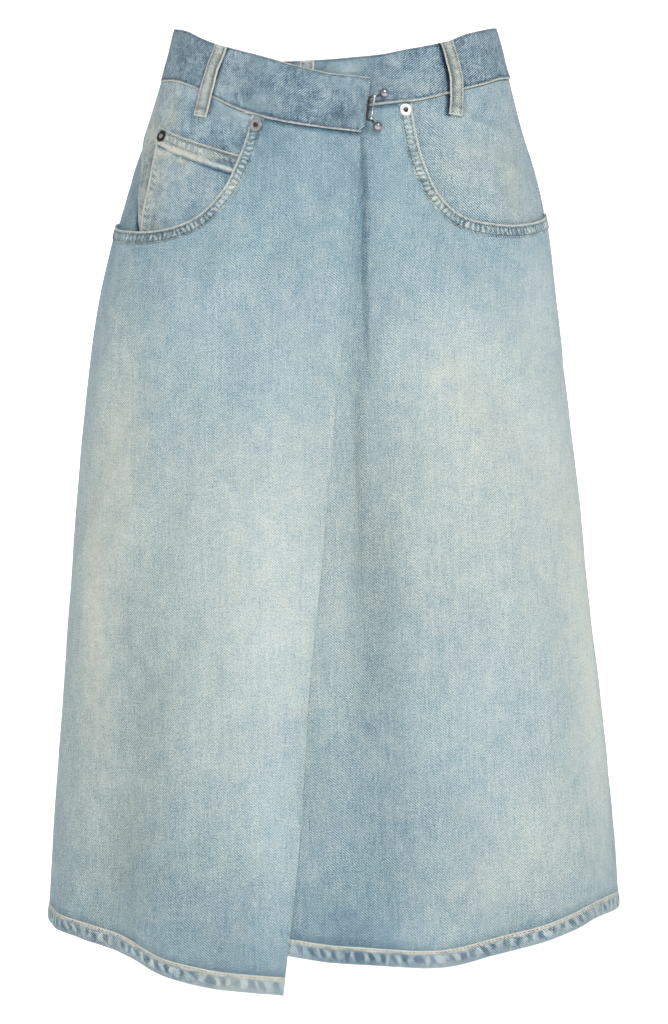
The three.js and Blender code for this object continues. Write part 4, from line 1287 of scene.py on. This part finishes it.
for waist, start, end, seam_end, lift in (
    (RIGHT_WAIST, RIGHT_STITCH, 8.4, 6.2, right_band_lift),
    (LEFT_WAIST, UNDER_BAND_END, LEFT_STITCH, LEFT_STITCH, left_band_lift),
    (BACK_WAIST, BACK_STITCH, BACK_STITCH_END, BACK_STITCH_END, back_band_lift),
):
    line_on(waist, "top", start, end, 1.5, lift, BAND_CLOTH - 0.2)
    line_on(waist, "seam", start, seam_end, -2.4, lift, BAND_CLOTH - 0.1)

end_rows = np.linspace(0.06, 0.94, 40)
end_turn, end_height = band_place(RIGHT_WAIST, RIGHT_END, band_end)(1 + 0 * end_rows, end_rows)
stitch(*on_cloth(end_turn - 0.85, end_height, right_band_lift(end_turn, end_height) + BAND_CLOTH - 0.15))

for mouth, lift in ((RIGHT_MOUTH, flap_lift), (LEFT_MOUTH, under_lift)):
    for out in MOUTH_ROWS:
        run = np.linspace(0.02, 0.985, 300)
        turn, height = mouth_line(mouth, run, out)
        over = mix(1.05, 0.45, ease(0.9, 1.0, run))
        on_front = np.abs(turn) < 89.2
        turn, height, over = turn[on_front], height[on_front], over[on_front]
        stitch(*on_cloth(turn, height, lift(turn, height) + CLOTH + over), length=2.3, radius=0.34)

# The coin pocket's rows go by its depth and by its millimetres in a degree of turn

COIN_DEPTH = 92
COIN_DEGREE = 1.35
for below in COIN_HEM_ROWS:
    side = np.linspace(0.11 if below > 3 else 0.05, 0.99, 120)
    turn, height = coin_place(side, below / COIN_DEPTH)
    stitch(*on_cloth(turn, height, COIN_LIFT + CLOTH + 0.42), length=1.9, gap=0.6, radius=0.34)
for inwards in COIN_SIDE_ROWS:
    down = np.linspace(0.12, 0.98, 90)
    turn, height = coin_place(0 * down, down)
    stitch(*on_cloth(turn + inwards / COIN_DEGREE, height, COIN_LIFT + CLOTH + 0.02), length=2.2, radius=0.32)

for hem, lift, start, end in (
    (FLAP_HEM, flap_lift, float(flap_edge_turn(-712.0)) - 0.3, RIGHT_STITCH),
    (UNDER_HEM, under_lift, UNDER_EDGE_HEM, LEFT_STITCH),
    (BACK_HEM, back_lift, BACK_STITCH, BACK_STITCH_END),
):
    line_on(hem, "hem", start, end, -12, lift, CLOTH + 0.1, count=700, length=2.7)

for seam, inwards, top, foot, lift in (
    (-90, 2, -134, -676, flap_lift),
    (90, -2, -127, -667, under_lift),
    (180, -2, -14, -671, back_lift),
    (180, -8, -14, -671, back_lift),
):
    height = np.linspace(top, foot, 300)
    turn = seam + inwards / degree(np.full(height.shape, float(seam)), height)
    stitch(*on_cloth(turn, height, lift(turn, height) + CLOTH + 0.02))


def ring_faces(count, sides):
    """Quads between rings of points that follow one another, and a cap at both ends."""
    first = np.arange(count - 1)[:, None] * sides
    a, b = (first + np.arange(sides)).ravel(), (first + (np.arange(sides) + 1) % sides).ravel()
    faces = np.stack([a, b, b + sides, a + sides], 1).tolist()
    return faces + [list(range(sides))[::-1], list(range((count - 1) * sides, count * sides))]


def build_stitches(name, lines, material):
    """Every stitch is the same small spindle, bent down at both ends and laid along its line."""
    share = np.array([-1, -0.82, -0.45, 0, 0.45, 0.82, 1])
    size = np.sqrt(np.clip(1 - np.abs(share) ** 3, 0.02, 1))
    ring = np.radians(np.arange(0, 360, 72))
    points = []
    for at, run, up, side, length, radius in lines:
        dip = 0.55 * radius * np.abs(share) ** 4 * 2
        points.append((
            at[:, None, None] + run[:, None, None] * (share * length / 2)[:, None, None]
            + up[:, None, None] * ((size * radius)[:, None] * np.sin(ring) - dip[:, None])[..., None]
            + side[:, None, None] * ((size * radius)[:, None] * np.cos(ring))[..., None]
        ).reshape(-1, 3))
    points = np.concatenate(points)
    one = ring_faces(len(share), len(ring))
    faces = [[v + k for v in face] for k in range(0, len(points), len(share) * len(ring)) for face in one]
    return new_mesh(name, points, faces, material)


build_stitches("stitching", stitch_lines, THREAD)

# Metal


def turned(name, profile, turn, height, lift, material, segments=40):
    """A part turned about the cloth's outward direction. The profile is radius and rise."""
    radius, rise = np.array(profile, float).T
    up = outward(np.array([turn]), np.array([height]))[0]
    side = np.cross([0, 0, 1], up)
    side /= np.linalg.norm(side)
    ahead = np.cross(up, side)
    angle = np.linspace(0, 2 * np.pi, segments, endpoint=False)
    at = skin(turn, height, lift)
    points = (
        at + up * rise[:, None, None]
        + radius[:, None, None] * (np.cos(angle)[:, None] * side + np.sin(angle)[:, None] * ahead)
    ).reshape(-1, 3)
    return new_mesh(name, points, ring_faces(len(profile), segments), material)


WASHER = [
    (0.01, 0), (4.8, 0), (5.0, 0.2), (4.95, 0.55), (4.6, 0.75), (3.6, 0.7), (2.6, 0.5), (2.1, 0.45),
    (0.01, 0.45),
]
STUD = [(0.01, 0.2), (1.9, 0.25), (2.0, 0.7), (1.75, 1.2), (1.2, 1.55), (0.6, 1.68), (0.01, 1.7)]
ON_STRIP = CLOTH + LAYER_GAP + 1.45
# The three rivets are alike, a nickel washer and a dark stud; the paler and darker metals they take show how
# brightly each is lit: painted light and shade.
for name, turn, height, lift, ring_look, stud_look in (
    ("pocket_right", -19.9, -54.4, FLAP_LIFT + ON_STRIP, WARM_METAL, DARK_STEEL),
    ("pocket_left", 18.4, -41.4, FACING_LIFT + ON_STRIP, PALE_METAL, DARK_STEEL),
    ("coin_pocket", -56.8, -57.0, COIN_LIFT + CLOTH + 1.25, DARK_STEEL, WARM_METAL),
):
    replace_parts(turned("washer_" + name, WASHER, turn, height, lift, ring_look), "rivet_" + name)
    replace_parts(turned("stud_" + name, STUD, turn, height, lift, stud_look, 28), "rivet_" + name)

BALL_RADIUS, ROD_RADIUS = 3.8, 0.9
ball_angles = np.radians(np.linspace(-84, 84, 25))
BALL = [
    (0.01, -BALL_RADIUS),
    *((BALL_RADIUS * math.cos(a), BALL_RADIUS * math.sin(a)) for a in ball_angles),
    (0.01, BALL_RADIUS),
]
for name, x, height, lift, cloth in (
    ("ball_upper", 38.6, -29.2, left_band_lift, BAND_CLOTH),
    ("ball_lower", 33.7, -55.5, under_lift, CLOTH),
):
    turn = float(turn_at(x, height))
    level = float(lift(np.array(turn), height)) + cloth + REST + BALL_RADIUS
    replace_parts(turned("hook_" + name, BALL, turn, height, level, BALL_STEEL, 48), "closure_" + name)


def tube(name, path, radii, material, sides=14):
    """A round tube whose radius changes along its path."""
    path, radii = np.asarray(path), np.asarray(radii)
    run = np.gradient(path, axis=0)
    run /= np.linalg.norm(run, axis=1, keepdims=True)
    side = np.cross(run, [0.0, -1.0, 0.05])
    side /= np.linalg.norm(side, axis=1, keepdims=True)
    up = np.cross(side, run)
    angle = np.linspace(0, 2 * np.pi, sides, endpoint=False)
    ring = np.cos(angle)[None, :, None] * side[:, None] + np.sin(angle)[None, :, None] * up[:, None]
    points = (path[:, None] + ring * radii[:, None, None]).reshape(-1, 3)
    faces = [face[::-1] for face in ring_faces(len(path), sides)]
    return new_mesh(name, points, faces, material)


def smooth_path(points, count):
    points = np.asarray(points, float)
    columns = {"at": np.arange(len(points), dtype=float), **dict(zip("xyz", points.T))}
    at = np.linspace(0, len(points) - 1, count)
    return np.stack([read(columns, "at", key, at) for key in "xyz"], 1)


# The bent bar, by x, height and lift

STAPLE = [
    (34.4, -31.0, 7.9), (31.2, -32.8, 8.3), (28.4, -32.6, 8.6), (26.9, -34.4, 8.6), (26.2, -42.0, 8.6),
    (25.4, -49.6, 8.6), (26.6, -51.2, 8.5), (28.7, -51.2, 7.9), (30.4, -52.8, 6.8),
]
staple_path = smooth_path([skin(turn_at(x, height), height, lift) for x, height, lift in STAPLE], 90)
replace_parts(tube("hook_staple", staple_path, np.full(90, ROD_RADIUS), DARK_STEEL), "closure_staple")

BAR_CENTRE = skin(turn_at(29.6, -41.9), -41.9, 11.6)
BAR_HALF, BAR_LEAN, BEAD, BAR_RADIUS = 8.6, 0.148, 1.6, 0.6
bar_way = np.array([math.sin(BAR_LEAN), 0, math.cos(BAR_LEAN)])
offsets = np.unique([np.linspace(end - BEAD, end + BEAD, 17) for end in (-BAR_HALF, BAR_HALF)])
bead_off = np.abs(np.abs(offsets) - BAR_HALF)
bead_radius = np.sqrt(np.clip(BEAD ** 2 - bead_off ** 2, 0.0004, None))
bar_radii = np.where(np.abs(offsets) < BAR_HALF, np.maximum(bead_radius, BAR_RADIUS), bead_radius)
crossbar = tube("hook_crossbar", BAR_CENTRE + bar_way * offsets[:, None], bar_radii, BRIGHT_STEEL)
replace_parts(crossbar, "closure_crossbar")

# A loose thread on the coin pocket, by turn, height and lift

THREAD_RUN = [(-44, -76, 5.6), (-42.6, -81, 6.6), (-41.8, -86, 5.9), (-40.2, -90, 5.4), (-39.4, -95, 5.2)]
tube("loose_thread", smooth_path([skin(*place) for place in THREAD_RUN], 40), np.full(40, 0.28),
     PALE_THREAD, 6)

# What each piece stands for

for piece, node in (
    (FLAP, "front_right"), (FLAP_HEM_PIECE, "front_right"),
    (UNDER, "front_left"), (UNDER_HEM_PIECE, "front_left"),
    (BACK_LEFT, "back_left"), (BACK_HEM_LEFT, "back_left"),
    (BACK_RIGHT, "back_right"), (BACK_HEM_RIGHT, "back_right"),
    (BAND_RIGHT, "waistband_right"), (BAND_LEFT, "waistband_left"),
    (BAND_BACK, "waistband_back"), (FACING_RIGHT, "pocket_facing_right"), (FACING_LEFT, "pocket_facing_left"),
    (SIDE_RIGHT, "pocket_side_right"), (COIN_TOP, "coin_pocket"), (EDGE_RIGHT, "pocket_edge_right"),
    (EDGE_LEFT, "pocket_edge_left"),
):
    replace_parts(piece, node)

# Camera, light and floor

DISTANCE = 1.8
VIEW_HEIGHT = -0.357
MM_PER_PIXEL = 0.83
PIXELS_HIGH = 1024
SENSOR = 36

camera_data = bpy.data.cameras.new("camera")
camera_data.sensor_width = SENSOR
camera_data.lens = DISTANCE / (MM_PER_PIXEL * MM) * SENSOR / PIXELS_HIGH
camera = bpy.data.objects.new("camera", camera_data)
camera.location = (0, -DISTANCE, VIEW_HEIGHT)
camera.rotation_euler = (math.pi / 2, 0, 0)
bpy.context.scene.collection.objects.link(camera)
bpy.context.scene.camera = camera
bpy.context.scene.view_settings.view_transform = "Standard"


def area_light(name, place, target, size, power):
    data = bpy.data.lights.new(name, "AREA")
    data.shape, data.size, data.energy = "DISK", size, power
    made = bpy.data.objects.new(name, data)
    made.location = place
    made.rotation_euler = (Vector(target) - Vector(place)).to_track_quat("-Z", "Y").to_euler()
    bpy.context.scene.collection.objects.link(made)


area_light("key", (0.75, -2.2, 1.6), (0, 0, -0.35), 1.1, 37)
area_light("fill", (-1.6, -1.9, 0.1), (0, 0, -0.4), 1.8, 6)

world = bpy.data.worlds.new("studio")
world.use_nodes = True
world.node_tree.nodes["Background"].inputs["Color"].default_value = (1, 1, 1, 1)
world.node_tree.nodes["Background"].inputs["Strength"].default_value = 0.37
bpy.context.scene.world = world

FLOOR, SWEEP, FAR, WIDE = -1.0, 1.2, 5.6, 8.0


def studio_floor():
    """A pale floor that sweeps up into a backdrop."""
    path = [(-FAR, FLOOR), (FAR - SWEEP, FLOOR)]
    path += [(FAR - SWEEP + SWEEP * math.sin(a), FLOOR + SWEEP * (1 - math.cos(a)))
             for a in np.radians(np.linspace(6, 90, 15))]
    path += [(FAR, FLOOR + 5)]
    points = [(x, y, z) for y, z in path for x in (-WIDE, WIDE)]
    faces = [(2 * i, 2 * i + 1, 2 * i + 3, 2 * i + 2) for i in range(len(path) - 1)]
    mesh = bpy.data.meshes.new("floor")
    mesh.from_pydata(points, [], faces)
    mesh.shade_smooth()
    made = bpy.data.objects.new("floor", mesh)
    bpy.context.scene.collection.objects.link(made)
    look = Tree("pale_floor")
    look.surface({
        "Base Color": (0.9, 0.9, 0.9, 1), "Roughness": 1.0,
        "Emission Color": (1, 1, 1, 1), "Emission Strength": 0.7,
    })
    mesh.materials.append(look.material)


studio_floor()
